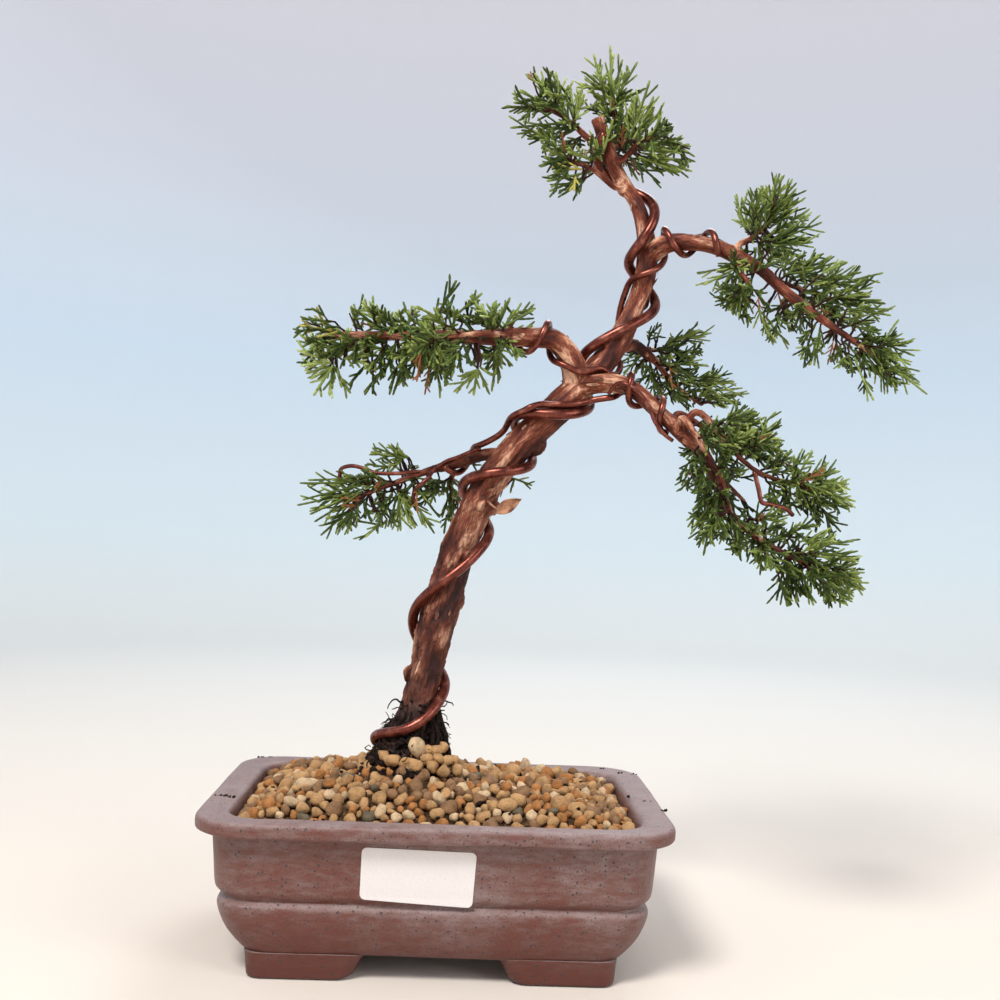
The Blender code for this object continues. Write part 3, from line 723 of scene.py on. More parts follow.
form = bmesh.new()
outline = [form.verts.new(Vector((x, 0.0, z))) for x, z in LABEL_CORNERS]
form.faces.new(outline)
bmesh.ops.bevel(
    form, geom=form.verts[:], offset=LABEL_ROUND, segments=5, profile=0.5,
    affect="VERTICES", material=-1,
)
cuts = [((0, 0, height), (0, 0, 1)) for height in np.arange(33.0, 56.0, 1.5)]
cuts += [((column, 0, 0), (1, 0, 0)) for column in np.arange(-28.0, 17.0, 3.0)]
for spot, facing in cuts:
    bmesh.ops.bisect_plane(
        form, geom=form.verts[:] + form.edges[:] + form.faces[:],
        plane_co=spot, plane_no=facing, dist=1e-6,
    )
wall = bvhtree.BVHTree.FromPolygons(
    [vert.co for vert in pot_mesh.vertices], [polygon.vertices for polygon in pot_mesh.polygons]
)
for vert in form.verts:
    x, z = vert.co.x, max(vert.co.z, LABEL_HANGS_FROM)
    spot = wall.ray_cast(in_metres((x, -200.0, z)), Vector((0, 1, 0)))[0]
    vert.co = Vector((spot.x, spot.y - LABEL_LIFT * MM, vert.co.z * MM))
bmesh.ops.recalc_face_normals(form, faces=form.faces)
if sum(face.normal.y * face.calc_area() for face in form.faces) > 0:
    bmesh.ops.reverse_faces(form, faces=form.faces)
bmesh.ops.solidify(form, geom=form.faces[:], thickness=-LABEL_THICK * MM)
bmesh.ops.recalc_face_normals(form, faces=form.faces)
label_mesh = mesh_from(form, "blank_label")
label_mesh.shade_flat()
show("blank_label", label_mesh, paper_finish())

# %% [markdown]
# ## Lines of the trunk, the boughs and the foliage stems
# Every limb is a line of points with a radius at each, drawn smoothly through a few
# stations. The lines come before any surface, because bark, wires, twigs and leaves are all
# placed from them.

# %% Trunk and boughs
TRUNK = (  # x, y, z, radius
    (-15, -2, 86.3, 12.5), (-12.3, -2, 97, 9.4), (-10, -1, 112, 7.5), (-2.4, 2, 150, 8.5),
    (9.3, 3, 190, 7.7), (26, 0, 220, 7.1), (51, -3, 247, 7.3), (70, 0, 268, 6.0),
    (82, 3, 292, 4.7), (87, 1, 313, 5.0), (82, 0, 337, 3.5), (71, 1, 355, 3.4), (61, -1, 379, 3.2),
)
BOUGHS = {
    "bough_mid_left": (
        (56, -3, 252, 5.8), (52.5, -6, 265, 5.3), (44, -10, 273.5, 4.9), (32, -12, 273.5, 4.4),
        (16, -12, 273, 4.0),
    ),
    "bough_low_left": (
        (25, 1, 221, 3.6), (15, 8, 221, 2.9), (6, 14, 218, 2.6), (-6, 19, 214.5, 2.4),
    ),
    "bough_upper_right": (
        (87, 1, 316, 4.8), (94, -7, 320.5, 4.5), (106, -12, 320.5, 3.9), (118, -15, 317.5, 3.6),
        (130, -16, 311.5, 3.4),
    ),
    "bough_lower_right": (
        (57, -3, 254, 5.4), (70, -12, 254.5, 4.5), (80, -17, 251.5, 3.9), (92, -21, 241, 3.5),
        (103, -24, 230.5, 3.2),
    ),
    "bough_back_right": ((73, 2, 272, 3.4), (84, 13, 276, 2.7), (94, 21, 271, 2.3)),
}


def smooth(stations, steps):
    """Catmull-Rom curve through the stations, as an array with steps points a span."""
    rows = np.array(stations, float)
    rows = np.vstack([2 * rows[0] - rows[1], rows, 2 * rows[-1] - rows[-2]])
    out = []
    for a, b, c, d in zip(rows, rows[1:], rows[2:], rows[3:]):
        for k in range(steps):
            t = k / steps
            out.append(0.5 * (
                2 * b + (c - a) * t + (2 * a - 5 * b + 4 * c - d) * t**2
                + (3 * b - a - 3 * c + d) * t**3
            ))
    out.append(rows[-2])
    return np.array(out)


class Limb:
    """A round limb: points along its centre, with its radius at each."""

    def __init__(self, stations, steps):
        rows = smooth(stations, steps) if steps > 1 else np.array(stations, float)
        self.points = rows[:, :3]
        self.radii = rows[:, 3]
        spans = np.linalg.norm(np.diff(self.points, axis=0), axis=1)
        self.along = np.concatenate([[0.0], np.cumsum(spans)])
        self.length = self.along[-1]

    def place(self, distance):
        """Centre, direction and radius at a distance along the limb."""
        i = int(np.clip(np.searchsorted(self.along, distance) - 1, 0, len(self.points) - 2))
        share = (distance - self.along[i]) / (self.along[i + 1] - self.along[i])
        centre = self.points[i] + (self.points[i + 1] - self.points[i]) * share
        radius = self.radii[i] + (self.radii[i + 1] - self.radii[i]) * share
        return centre, unit(self.points[i + 1] - self.points[i]), radius

    def nearest(self, point):
        """The centre and radius of the limb where it is nearest to a point."""
        start = self.points[:-1]
        span = self.points[1:] - start
        share = np.einsum("ij,ij->i", point - start, span) / np.einsum("ij,ij->i", span, span)
        share = np.clip(share, 0.0, 1.0)
        centres = start + span * share[:, None]
        i = int(np.argmin(np.linalg.norm(point - centres, axis=1)))
        return centres[i], self.radii[i] + (self.radii[i + 1] - self.radii[i]) * share[i]


limbs = {"trunk": Limb(TRUNK, 6)}
limbs.update({name: Limb(stations, 6) for name, stations in BOUGHS.items()})
for name, limb in limbs.items():
    print(f"{name}: {limb.length:.0f} mm long")

# %% Foliage stems
MASSES = {  # distance back from the limb's tip, way out of it, middle, end, reach, first twig
    "apex": {
        "left": (9, (-1, -0.3, 0.2), (47, -5, 376), (36, -6, 381), 18, 0.3),
        "top": (14, (1, 0.5, 0.4), (70, 4, 379), (67, 3, 391), 13, 0.3),
        "right": (22, (1, -0.5, 0.3), (80, -9, 366), (89, -10, 369), 20, 0.25),
        "low": (33, (-1, -0.7, 0.1), (58, -12, 352), (48, -14, 354), 16, 0.3),
        "back": (18, (0.1, 1, 0.1), (70, 15, 366), (73, 26, 371), 18, 0.3),
    },
    "upper_right": {
        "crown": (7, (0, 0.3, 1), (134, -8, 325), (144, -4, 336), 20, 0.3),
        "under": (4, (0, -0.4, -1), (129, -22, 301), (126, -23, 296), 17, 0.3),
        "middle": (3, (0, 1, 0.3), (148, -1, 307), (174, 2, 300), 20, 0.25),
        "outer": (0, None, (154, -17, 294), (190, -17, 271), 22, 0.3),
    },
    "mid_left": {
        "front": (4, (0, -1, 0), (8, -26, 272), (-10, -26, 269), 19, 0.1),
        "back": (13, (0, 1, 0.6), (16, 1, 278), (-9, 7, 272), 20, 0.1),
        "outer": (0, None, (-22, -9, 272.5), (-57, -8, 271.5), 21, 0.4),
    },
    "low_left": {
        "outer": (0, None, (-26, 22, 207), (-46, 20, 198), 19, 0.25),
        "back": (4, (0, 1, -0.3), (0, 34, 204), (14, 40, 201), 18, 0.2),
    },
    "back_right": {
        "inner": (3, (0, 0.5, 1), (94, 31, 277), (106, 35, 278), 18, 0.1),
        "outer": (0, None, (106, 27, 260), (121, 32, 251), 18, 0.1),
    },
    "lower_right": {
        "crown": (9, (0.2, 0.6, 1), (117, -15, 234), (133, -12, 231), 17, 0.25),
        "back": (2, (0, 1, 0), (120, -6, 217), (138, 8, 204), 18, 0.4),
        "upper": (2.5, (1, -0.3, 0.9), (134, -22, 218), (166, -16, 209), 18, 0.25),
        "under": (4, (0.5, -1, 0), (117, -35, 213), (121, -38, 198), 17, 0.35),
        "outer": (0, None, (128, -27, 193), (168, -21, 172), 21, 0.35),
    },
}
STEM_SUNK = 1.5
SIDE_STEM_RADIUS = 1.9
STEM_TIP_RADIUS = 0.9
THICK_STEMS = {"mass_mid_left_outer": (2.5, 1.9), "mass_upper_right_outer": (2.5, 0.9)}


def stem_of(name, limb, back, leaving, middle, end):
    """A foliage stem: it leaves its limb, sunk a little way in, and runs through two points."""
    centre, forward, radius = limb.place(limb.length - back)
    thick = radius * 0.96
    start = centre - forward * STEM_SUNK
    if back > 0:
        leaving = np.array(leaving, float)
        forward = unit(leaving - forward * np.dot(leaving, forward))
        thick = min(SIDE_STEM_RADIUS, radius * 0.7)
        start = centre + forward * (radius - STEM_SUNK)
    reach = np.linalg.norm(middle - start)
    halfway, last = THICK_STEMS.get(name, (thick * 0.35 + STEM_TIP_RADIUS * 0.65, STEM_TIP_RADIUS))
    return Limb([
        (*start, thick),
        (*(start + forward * reach * 0.3), thick * 0.85),
        (*middle, halfway),
        (*end, last),
    ], 6)


stems, reaches, firsts = {}, {}, {}
for pad, parts in MASSES.items():
    limb = limbs["trunk" if pad == "apex" else f"bough_{pad}"]
    for part, (*course, reach, first) in parts.items():
        name = f"mass_{pad}_{part}"
        stems[name] = stem_of(name, limb, *course)
        reaches[name], firsts[name] = reach, first
print(len(stems), "stems,", round(sum(stem.length for stem in stems.values())), "mm in all")

# %% [markdown]
# ## Bark
# Juniper bark is reddish brown and peels in long thin strips that follow the limb, so the
# surface is a stack of ragged layers with dark crevices between them. A flat pattern wrapped
# round the trunk would slide at the forks. Instead all limbs are joined into one body and
# given even small faces with a voxel remesh. Every point is then moved in or out by noise
# that is read along its own limb: fine round the limb, and stretched along it. The same
# values are kept on the mesh for the colours, and the crevices are darkened there with
# painted shade.

# %% Wooden body
BARK_GRAIN = 0.64
KNOTS = (  # distance up the trunk, quarter turns round it, size, how far it stands out
    (98, 1.22, 3.4, 0.9), (116, 1.17, 3.0, 0.9), (154, 2.0, 4.2, 1.6), (117, 2.0, 3.2, 1.4),
    (32, 0.0, 3.6, 1.2), (20, 2.3, 4.4, 1.0), (188, 3.0, 3.8, 1.2), (212, 0.5, 3.6, 0.9),
    (238, 2.4, 2.6, 1.0), (60, 3.1, 4.0, 1.0), (70, 2.2, 3.0, 0.8), (292, 0.2, 2.2, 0.9),
)


def round_the_limb(limb, distance, quarters, off=0.0):
    """A point on a limb after some quarter turns: 0 is its left, 1 its front, 2 its right."""
    centre, forward, radius = limb.place(distance)
    front = np.array((0.0, -1.0, 0.0))
    front = unit(front - forward * np.dot(front, forward))
    right = np.cross(forward, front)
    turn = quarters * math.pi / 2
    outward = front * math.sin(turn) - right * math.cos(turn)
    return centre + (radius + off) * outward, outward, forward


def ball_shape(detail):
    form = bmesh.new()
    bmesh.ops.create_icosphere(form, subdivisions=detail, radius=1.0)
    return Shape(form)


def applied(mesh, *modifiers):
    """The mesh that some modifiers make of this one."""
    helper = bpy.data.objects.new("helper", mesh)
    scene.collection.objects.link(helper)
    for kind, settings in modifiers:
        modifier = helper.modifiers.new(kind.lower(), kind)
        for entry, value in settings.items():
            setattr(modifier, entry, value)
    bpy.context.view_layer.update()
    graph = bpy.context.evaluated_depsgraph_get()
    made = bpy.data.meshes.new_from_object(helper.evaluated_get(graph))
    bpy.data.objects.remove(helper)
    return made


BALL = ball_shape(2)
wood = Heap()
trunk_points = np.vstack([limbs["trunk"].points[0] - (0.6, 0.0, 4.0), limbs["trunk"].points])
trunk_radii = np.concatenate([[14.5], limbs["trunk"].radii])
wood.add(*tube(trunk_points, trunk_radii, 20))
for name in BOUGHS:
    wood.add(*tube(limbs[name].points, limbs[name].radii, 14))
for stem in stems.values():
    wood.add(*tube(stem.points, stem.radii, 8))
for distance, quarters, size, out in KNOTS:
    spot, outward, forward = round_the_limb(limbs["trunk"], distance, quarters, out - size * 0.62)
    stretched = BALL.spots * size
    stretched = stretched + np.outer(stretched @ forward, forward) * 0.35
    wood.add(spot + stretched, BALL)
wood_mesh = applied(wood.mesh("wood"), (
    "REMESH", {"mode": "VOXEL", "voxel_size": BARK_GRAIN * MM, "use_smooth_shade": True},
))
print("wooden body:", len(wood_mesh.vertices), "points")


# %% Bark relief
SAMPLE_SPACING = 0.6
NEXT_LIMB_ALONG = 57.0  # each limb reads its noise this much further along
OLD_BELOW, YOUNG_ABOVE = 165.0, 215.0
SOIL_STAIN_TOP = 106.0


def limb_samples():
    """Points along every limb with its own directions, for reading noise along it."""
    rows = []
    everything = list(limbs.values()) + list(stems.values())
    for number, limb in enumerate(everything):
        sides, acrosses = frames(limb.points)
        for distance in np.arange(0.0, limb.length, SAMPLE_SPACING):
            centre, forward, radius = limb.place(distance)
            i = int(np.clip(np.searchsorted(limb.along, distance) - 1, 0, len(sides) - 1))
            if number:
                host_centre, host_radius = limbs["trunk"].nearest(centre)
                if number < len(limbs) and np.linalg.norm(centre - host_centre) < host_radius * 0.9:
                    continue
            along = distance + NEXT_LIMB_ALONG * number
            rows.append((*centre, *sides[i], *acrosses[i], *forward, radius, along))
    return np.array(rows)


def noise_at(spots, size, offset=0.0):
    """Noise from -1 to 1 at each point, with lumps of some size along each axis."""
    scaled = spots / np.array(size) + offset
    return np.array([noise.noise(Vector(spot)) for spot in scaled])


def read_spots(mesh):
    spots = np.empty(len(mesh.vertices) * 3, np.float32)
    mesh.vertices.foreach_get("co", spots)
    return spots.reshape(-1, 3).astype(float) / MM - (POT_X, 0.0, 0.0)


def keep_vector(mesh, name, rows):
    mesh.attributes.new(name, "FLOAT_VECTOR", "POINT").data.foreach_set(
        "vector", np.asarray(rows, np.float32).ravel()
    )


samples = limb_samples()
finder = kdtree.KDTree(len(samples))
for i, row in enumerate(samples):
    finder.insert(row[:3], i)
finder.balance()

spots = read_spots(wood_mesh)
own = samples[[finder.find(spot)[1] for spot in spots]]
offset = spots - own[:, :3]
grain = np.stack([
    np.einsum("ij,ij->i", offset, own[:, 3:6]),
    np.einsum("ij,ij->i", offset, own[:, 6:9]),
    own[:, 13] + np.einsum("ij,ij->i", offset, own[:, 9:12]),
], axis=1)
thickness = own[:, 12]
relief = np.clip(thickness / 7.0, 0.22, 1.0)

warp = noise_at(grain, (6.0, 6.0, 14.0))[:, None] * (0.9, 0.9, 3.0)
bulge = noise_at(grain, (11.0, 11.0, 26.0), 3.1)
# Old bark low on the trunk has broken into plates; higher up it still peels in long strips.
young = np.interp(spots[:, 2], (OLD_BELOW, YOUNG_ABOVE), (0.0, 1.0))


def aged(plates, peelings, offset):
    """Noise of one size in old bark and of another in young bark."""
    low, high = (noise_at(grain + warp, size, offset) for size in (plates, peelings))
    return (1.0 - young) * low + young * high


strips = aged((3.6, 3.6, 13.0), (3.2, 3.2, 26.0), 7.7)
ragged = aged((2.0, 2.0, 5.0), (1.9, 1.9, 12.0), 1.3)
broad = noise_at(spots, (9.0, 9.0, 13.0), 11.9)
layers = (strips * 0.75 + ragged * 0.5) * 4.2
terrace = np.floor(layers) + np.clip((layers - np.floor(layers) - 0.35) / 0.22, 0.0, 1.0)
crack_line = noise_at(grain + warp * 1.6, (2.6, 2.6, 8.0), 21.4)
crack = np.clip(1.0 - np.abs(crack_line) / 0.11, 0.0, 1.0) ** 1.4
fine = noise_at(grain, (0.8, 0.8, 2.4), 5.5)
calm = 1.0 - 0.5 * young
push = relief * (bulge * 0.8 + calm * (terrace * 0.34 + ragged * 0.16 - crack * 0.6) + fine * 0.08)

normals = np.empty(len(wood_mesh.vertices) * 3, np.float32)
wood_mesh.vertices.foreach_get("normal", normals)
moved = spots + normals.reshape(-1, 3) * push[:, None]
wood_mesh.vertices.foreach_set(
    "co", ((moved + (POT_X, 0.0, 0.0)) * MM).astype(np.float32).ravel()
)
age = np.clip((245.0 - spots[:, 2]) / 120.0, 0.0, 1.0) * (thickness > 5.5)
keep_vector(wood_mesh, "grain", grain)
stain_top = SOIL_STAIN_TOP + 7.0 * ragged + 5.0 * strips
soiled = np.clip((stain_top - spots[:, 2]) / 3.0, 0.0, 1.0)
# The second value is painted shade in the cracks, together with the real soil stain at the foot of the
# trunk.
keep_vector(wood_mesh, "relief", np.stack([
    np.clip(0.47 + broad * 0.55 + strips * 0.22 + terrace * 0.05 + ragged * 0.12, 0.0, 1.0),
    np.maximum(crack * calm, soiled * 1.15), age,
], axis=1))
wood_mesh.update()
wood_mesh.shade_smooth()


# %% Bark finish
def bark_finish():
    bark = Finish("bark", 0.72)
    bark.place = bark.stretched(bark.attribute("grain"), (1.0, 1.0, 0.20))
    tones, crack_shade_and_soil, ages = bark.split(bark.attribute("relief"))
    fibres = bark.mask(CLOUDY, Scale=1.5, Detail=5.0)
    patches = bark.mask(CLOUDY, Scale=0.16, Detail=2.0)
    tone = bark.blend(tones, 0.70, fibres, 0.30)
    fresh = bark.ramp(tone, (
        (0.16, (0.026, 0.004, 0.002)),
        (0.38, (0.100, 0.018, 0.008)),
        (0.58, (0.235, 0.064, 0.031)),
        (0.80, (0.700, 0.400, 0.260)),
    ))
    old = bark.ramp(tone, (
        (0.18, (0.014, 0.003, 0.002)),
        (0.42, (0.046, 0.011, 0.006)),
        (0.62, (0.102, 0.031, 0.016)),
        (0.90, (0.270, 0.125, 0.082)),
    ))
    weathered = bark.maths("MULTIPLY", ages, bark.number(patches, 0.45, 1.0))
    base = bark.over(weathered, fresh, old)
    # Painted shade darkens the cracks, and the same value darkens the soil stain low on the trunk.
    bark.colour(bark.over(bark.number(crack_shade_and_soil, 0.0, 0.85), base, (0.022, 0.008, 0.006)))
    bark.roughness(bark.number(fibres, 0.48, 0.70))
    bark.shader.inputs["Specular IOR Level"].default_value = 0.26
    bark.bump(fibres, 0.00018, 0.6)
    return bark.material


BARK = bark_finish()
show("bark", wood_mesh, BARK, ["trunk", *BOUGHS])


# %% [markdown]
# ## Lifted flakes
# Old bark comes away in thin curled chips that are darker than the fresh bark below, and
# some show their paler inner side. Each chip is a ball pressed flat with its ends bent up.
# They are strewn along the limbs, most of them on the trunk.

# %% Lifted flakes
def flake_finish(name, dark, pale):
    flake = Finish(name, 0.7)
    flake.read_object()
    tone = flake.mask(CLOUDY, Scale=260.0, Detail=4.0)
    flake.colour(flake.ramp(tone, ((0.25, dark), (0.75, pale))))
    return flake.material


def flake_shape(bend):
    """A thin curved chip: a ball pressed flat, with its ends lifted."""
    form = bmesh.new()
    bmesh.ops.create_icosphere(form, subdivisions=2, radius=1.0)
    for vert in form.verts:
        ragged_edge = 1.0 + 0.35 * noise.noise(vert.co * 2.3 + Vector((bend * 9, 0, 0)))
        x, y, z = vert.co
        vert.co = Vector((x * ragged_edge, y * 0.10 + bend * z**2, z * ragged_edge))
    return Shape(form)


FLAKES = {  # what it lies on, how many, colours
    "bark_flakes_red": (110, (0.060, 0.014, 0.007), (0.200, 0.062, 0.030)),
    "bark_flakes_tan": (34, (0.190, 0.075, 0.038), (0.560, 0.330, 0.200)),
}
chips = [flake_shape(bend) for bend in (-0.25, -0.1, 0.15, 0.3)]
dice = random.Random(23)
for name, (count, dark, pale) in FLAKES.items():
    heap = Heap()
    for _ in range(count):
        limb = limbs[dice.choices(list(limbs), [9, 2, 1, 2, 2, 1])[0]]
        start = 26.0 if limb is limbs["trunk"] else 4.0
        distance = dice.uniform(start, limb.length - 2.0)
        quarters = dice.uniform(0, 4)
        spot, outward, forward = round_the_limb(limb, distance, quarters, dice.uniform(-0.3, 0.35))
        across_limb = np.cross(outward, forward)
        tilt = dice.uniform(-0.35, 0.35)
        skew = across_limb * dice.gauss(0, 0.15)
        lengthways = unit(forward * math.cos(tilt) + outward * math.sin(tilt) + skew)
        upright = unit(np.cross(lengthways, across_limb))
        wide, long = dice.uniform(0.5, 1.3), dice.uniform(1.4, 3.6)
        shape = dice.choice(chips)
        x, y, z = shape.spots.T
        chip = spot + np.outer(x * wide, across_limb) + np.outer(y * 1.1, upright)
        heap.add(chip + np.outer(z * long, lengthways), shape)
    show(name, heap.mesh(name), flake_finish(name, dark, pale))

# %% [markdown]
# ## Dried leaf
# A fallen leaf hangs on the stub of a broken twig. It is a grid bent into a shallow dish,
# with thickness added, on a short curved stalk.

# %% Dried leaf
# A dead leaf from some other plant has caught on the stub of a twig on the trunk's right.
LEAF_STALK = ((17.0, -4, 199.0), (19.6, -7, 196.6), (21.5, -8, 195.6))
LEAF_MIDDLE, LEAF_LENGTH, LEAF_WIDTH = (26.2, -8.0, 197.6), 13.5, 6.2
heap = Heap()
stalk = smooth(LEAF_STALK, 4)
heap.add(*tube(stalk, np.linspace(0.7, 0.3, len(stalk)), 6))
stub = smooth(((14.5, -3, 203.5), (19.0, -4.5, 204.5), (20.6, -5, 206.0)), 3)
heap.add(*tube(stub, np.linspace(1.0, 0.5, len(stub)), 6))
form = bmesh.new()
bmesh.ops.create_grid(form, x_segments=12, y_segments=6, size=1.0)
lengthways, sideways = unit(np.array((0.86, -0.1, 0.50))), unit(np.array((-0.48, -0.25, 0.84)))
for vert in form.verts:
    u, v = vert.co.x, vert.co.y
    wide = LEAF_WIDTH / 2 * max(1.0 - abs(u) ** 1.8, 0.02) * (1.0 - 0.25 * u)
    spot = np.array(LEAF_MIDDLE) + lengthways * u * LEAF_LENGTH / 2 + sideways * v * wide
    crinkle = 0.5 * noise.noise(Vector((u * 2, v * 2, 3.0)))
    spot = spot + np.cross(lengthways, sideways) * (0.9 * v * v + 0.8 * u * u + crinkle)
    vert.co = Vector(spot)
bmesh.ops.solidify(form, geom=form.faces[:], thickness=0.3)
bmesh.ops.recalc_face_normals(form, faces=form.faces)
leaf_shape = Shape(form)
heap.add(leaf_shape.spots, leaf_shape)
DRY = flake_finish("dried_leaf", (0.170, 0.062, 0.028), (0.420, 0.200, 0.110))
show("dried_leaf", heap.mesh("dried_leaf"), DRY)

# %% [markdown]
# ## Training wires
# Annealed aluminium wire, anodised to a dark copper and about 5 mm thick round the trunk
# and 3 mm round the boughs, winds up each limb and holds its bend. The line of a wire is
# listed as the places where it touches the limb, evened out, and then pushed clear of the
# wood wherever it is too near.

# %% Wire lines
TRUNK_WIRE_RADIUS = 2.4
THIN_WIRE_RADIUS = 1.5
WIRE_CLEARANCE = 0.5
WIRE_SPACING = 1.6
SETTLING_ROUNDS, SMOOTHING_ROUNDS = 24, 12
THICK_ROUTE_SPACING, THIN_ROUTE_SPACING = 5.5, 4.2
TRUNK_WIRE_TAIL = (0.5, 5.0, -4.0)
TRUNK_WIRE_TOUCHES = (  # distance up the trunk, extra distance from it, each quarter turn
    (0, 0), (10, 0), (29, 0.6), (41, 0), (58, 0), (79, 0), (104, 0), (112, 0), (120, 0), (133, 0),
    (146, 0), (151, 0), (156, 0), (168, 0), (184, 1.2), (192, 0.6), (201, 0), (221, 0), (238, 2.6),
    (247, 1.0), (256, 2.2), (268, 0.4), (281, 1.8), (295, 0.6), (311, 0.6), (319, 0),
)
UPPER_WIRE_TOUCHES = (  # limb, distance along it, quarter turns, extra distance from it
    ("bough_mid_left", 44, -1, 0), ("bough_mid_left", 34, 1, 0), ("bough_mid_left", 26, 3, 0),
    ("bough_mid_left", 15, 4.7, 0), ("trunk", 189, 0.7, 0), ("trunk", 205, 2, 0),
    ("trunk", 218, 3, 0), ("trunk", 243, 4, 0), ("trunk", 257, 6, 0),
    ("bough_upper_right", 9, 3.4, 0), ("bough_upper_right", 14, 4.6, 0),
    ("bough_upper_right", 26, 7.2, 0), ("bough_upper_right", 38, 9.6, 0),
)
LOWER_WIRE_TOUCHES = (
    ("bough_low_left", 33, 5, 0), ("bough_low_left", 24, 3, 0),
    ("bough_low_left", 12, 1.6, 0.3), ("trunk", 148, -0.3, 0.8), ("trunk", 153.5, 0.1, 2.5),
    ("trunk", 159, 0.5, 5.5), ("trunk", 166, 0.75, 0.8), ("trunk", 176, 1.2, 0),
    ("trunk", 186, 1.7, 0), ("bough_lower_right", 17, 2, 0), ("bough_lower_right", 22, 3.5, 0),
    ("bough_lower_right", 31, 6, 0), ("bough_lower_right", 42, 8.5, 0),
    ("bough_lower_right", 52, 10.5, 0),
)


def evenly(points, spacing):
    """The same line with its points a fixed distance apart."""
    points = np.array(points)
    along = np.concatenate([[0.0], np.cumsum(np.linalg.norm(np.diff(points, axis=0), axis=1))])
    stops = np.linspace(0.0, along[-1], round(along[-1] / spacing) + 1)
    return np.stack([np.interp(stops, along, points[:, k]) for k in range(3)], axis=1)


def settled(points, radius, solids):
    """Evens out a wire and pushes it clear of the solids, a little at a time."""
    for round_number in range(SETTLING_ROUNDS):
        if round_number < SMOOTHING_ROUNDS:
            points[1:-1] = 0.9 * points[1:-1] + 0.05 * (points[:-2] + points[2:])
        for i, point in enumerate(points):
            for solid in solids:
                centre, thickness = solid.nearest(point)
                out = point - centre
                room = radius + thickness + WIRE_CLEARANCE
                if np.linalg.norm(out) < room:
                    point = centre + unit(out) * room
            points[i] = point
    return points


def wire_touch(limb, distance, quarters, off):
    return round_the_limb(limb, distance, quarters, off)[0]


off = TRUNK_WIRE_RADIUS + WIRE_CLEARANCE
touches = smooth([(d, o, q) for q, (d, o) in enumerate(TRUNK_WIRE_TOUCHES)], 6)
trunk_line = limbs["trunk"]
thick_route = [wire_touch(trunk_line, min(d, trunk_line.length), q, off + o) for d, o, q in touches]
thick_route.insert(0, thick_route[0] + np.array(TRUNK_WIRE_TAIL))
thick_route = evenly(thick_route, THICK_ROUTE_SPACING)
thick_route = settled(thick_route, TRUNK_WIRE_RADIUS, list(limbs.values()))
thick_wire = Limb([(*point, TRUNK_WIRE_RADIUS) for point in thick_route], 1)


def thin_route(touches, others):
    """Winds along each limb in turn, and is smoothed where it passes from one to the next."""
    off = THIN_WIRE_RADIUS + WIRE_CLEARANCE
    points = []
    for before, after in zip(touches, touches[1:]):
        parts = max(1, round(abs(after[2] - before[2]))) if after[0] == before[0] else 1
        for k in range(parts):
            distance, turn, extra = (a + (b - a) * k / parts for a, b in zip(before[1:], after[1:]))
            points.append(wire_touch(limbs[before[0]], distance, turn, off + extra))
    name, distance, turn, extra = touches[-1]
    points.append(wire_touch(limbs[name], distance, turn, off + extra))
    points = evenly(smooth(points, 6), THIN_ROUTE_SPACING)
    return settled(points, THIN_WIRE_RADIUS, list(limbs.values()) + others)


upper_route = thin_route(UPPER_WIRE_TOUCHES, [thick_wire])
lower_route = thin_route(LOWER_WIRE_TOUCHES, [thick_wire])
ROUTES = (  # piece, solid that it replaces, line, radius
    ("wire_round_trunk", "wire_trunk", thick_route, TRUNK_WIRE_RADIUS),
    ("wire_round_upper", "wire_upper_boughs", upper_route, THIN_WIRE_RADIUS),
    ("wire_round_lower", "wire_lower_boughs", lower_route, THIN_WIRE_RADIUS),
)
wires = []
for name, _, route, radius in ROUTES:
    wires.append(Limb([(*point, radius + GAP) for point in route], 1))
    print(name, "is", round(wires[-1].length), "mm long")


# %% Wire surfaces
def wire_finish():
    metal = Finish("anodised_wire", 0.24, metallic=0.8)
    metal.read_object()
    rubbed = metal.mask(CLOUDY, Scale=180.0, Detail=4.0)
    metal.colour(metal.ramp(rubbed, (
        (0.0, (0.105, 0.024, 0.016)), (0.6, (0.175, 0.045, 0.030)), (1.0, (0.34, 0.125, 0.088)),
    )))
    metal.roughness(metal.number(rubbed, 0.24, 0.36))
    metal.bump(metal.mask(CLOUDY, Scale=500.0, Detail=2.0), 0.00003, 0.4)
    return metal.material


def wire_mesh(name, route, radius):
    line = evenly(smooth(route, 5), WIRE_SPACING)
    ends = np.full(len(line), radius)
    ends[[0, -1]] = radius * 0.86
    heap = Heap()
    heap.add(*tube(line, ends, 14))
    return heap.mesh(name)


WIRE = wire_finish()
for name, node, route, radius in ROUTES:
    show(name, wire_mesh(name, route, radius), WIRE, [node])


# %% [markdown]
# ## Short wires on the pads
# Where a bough divides, the grower has wired single branches with thinner pieces whose ends
# stand clear of the foliage. Each is a tube along a few measured places.

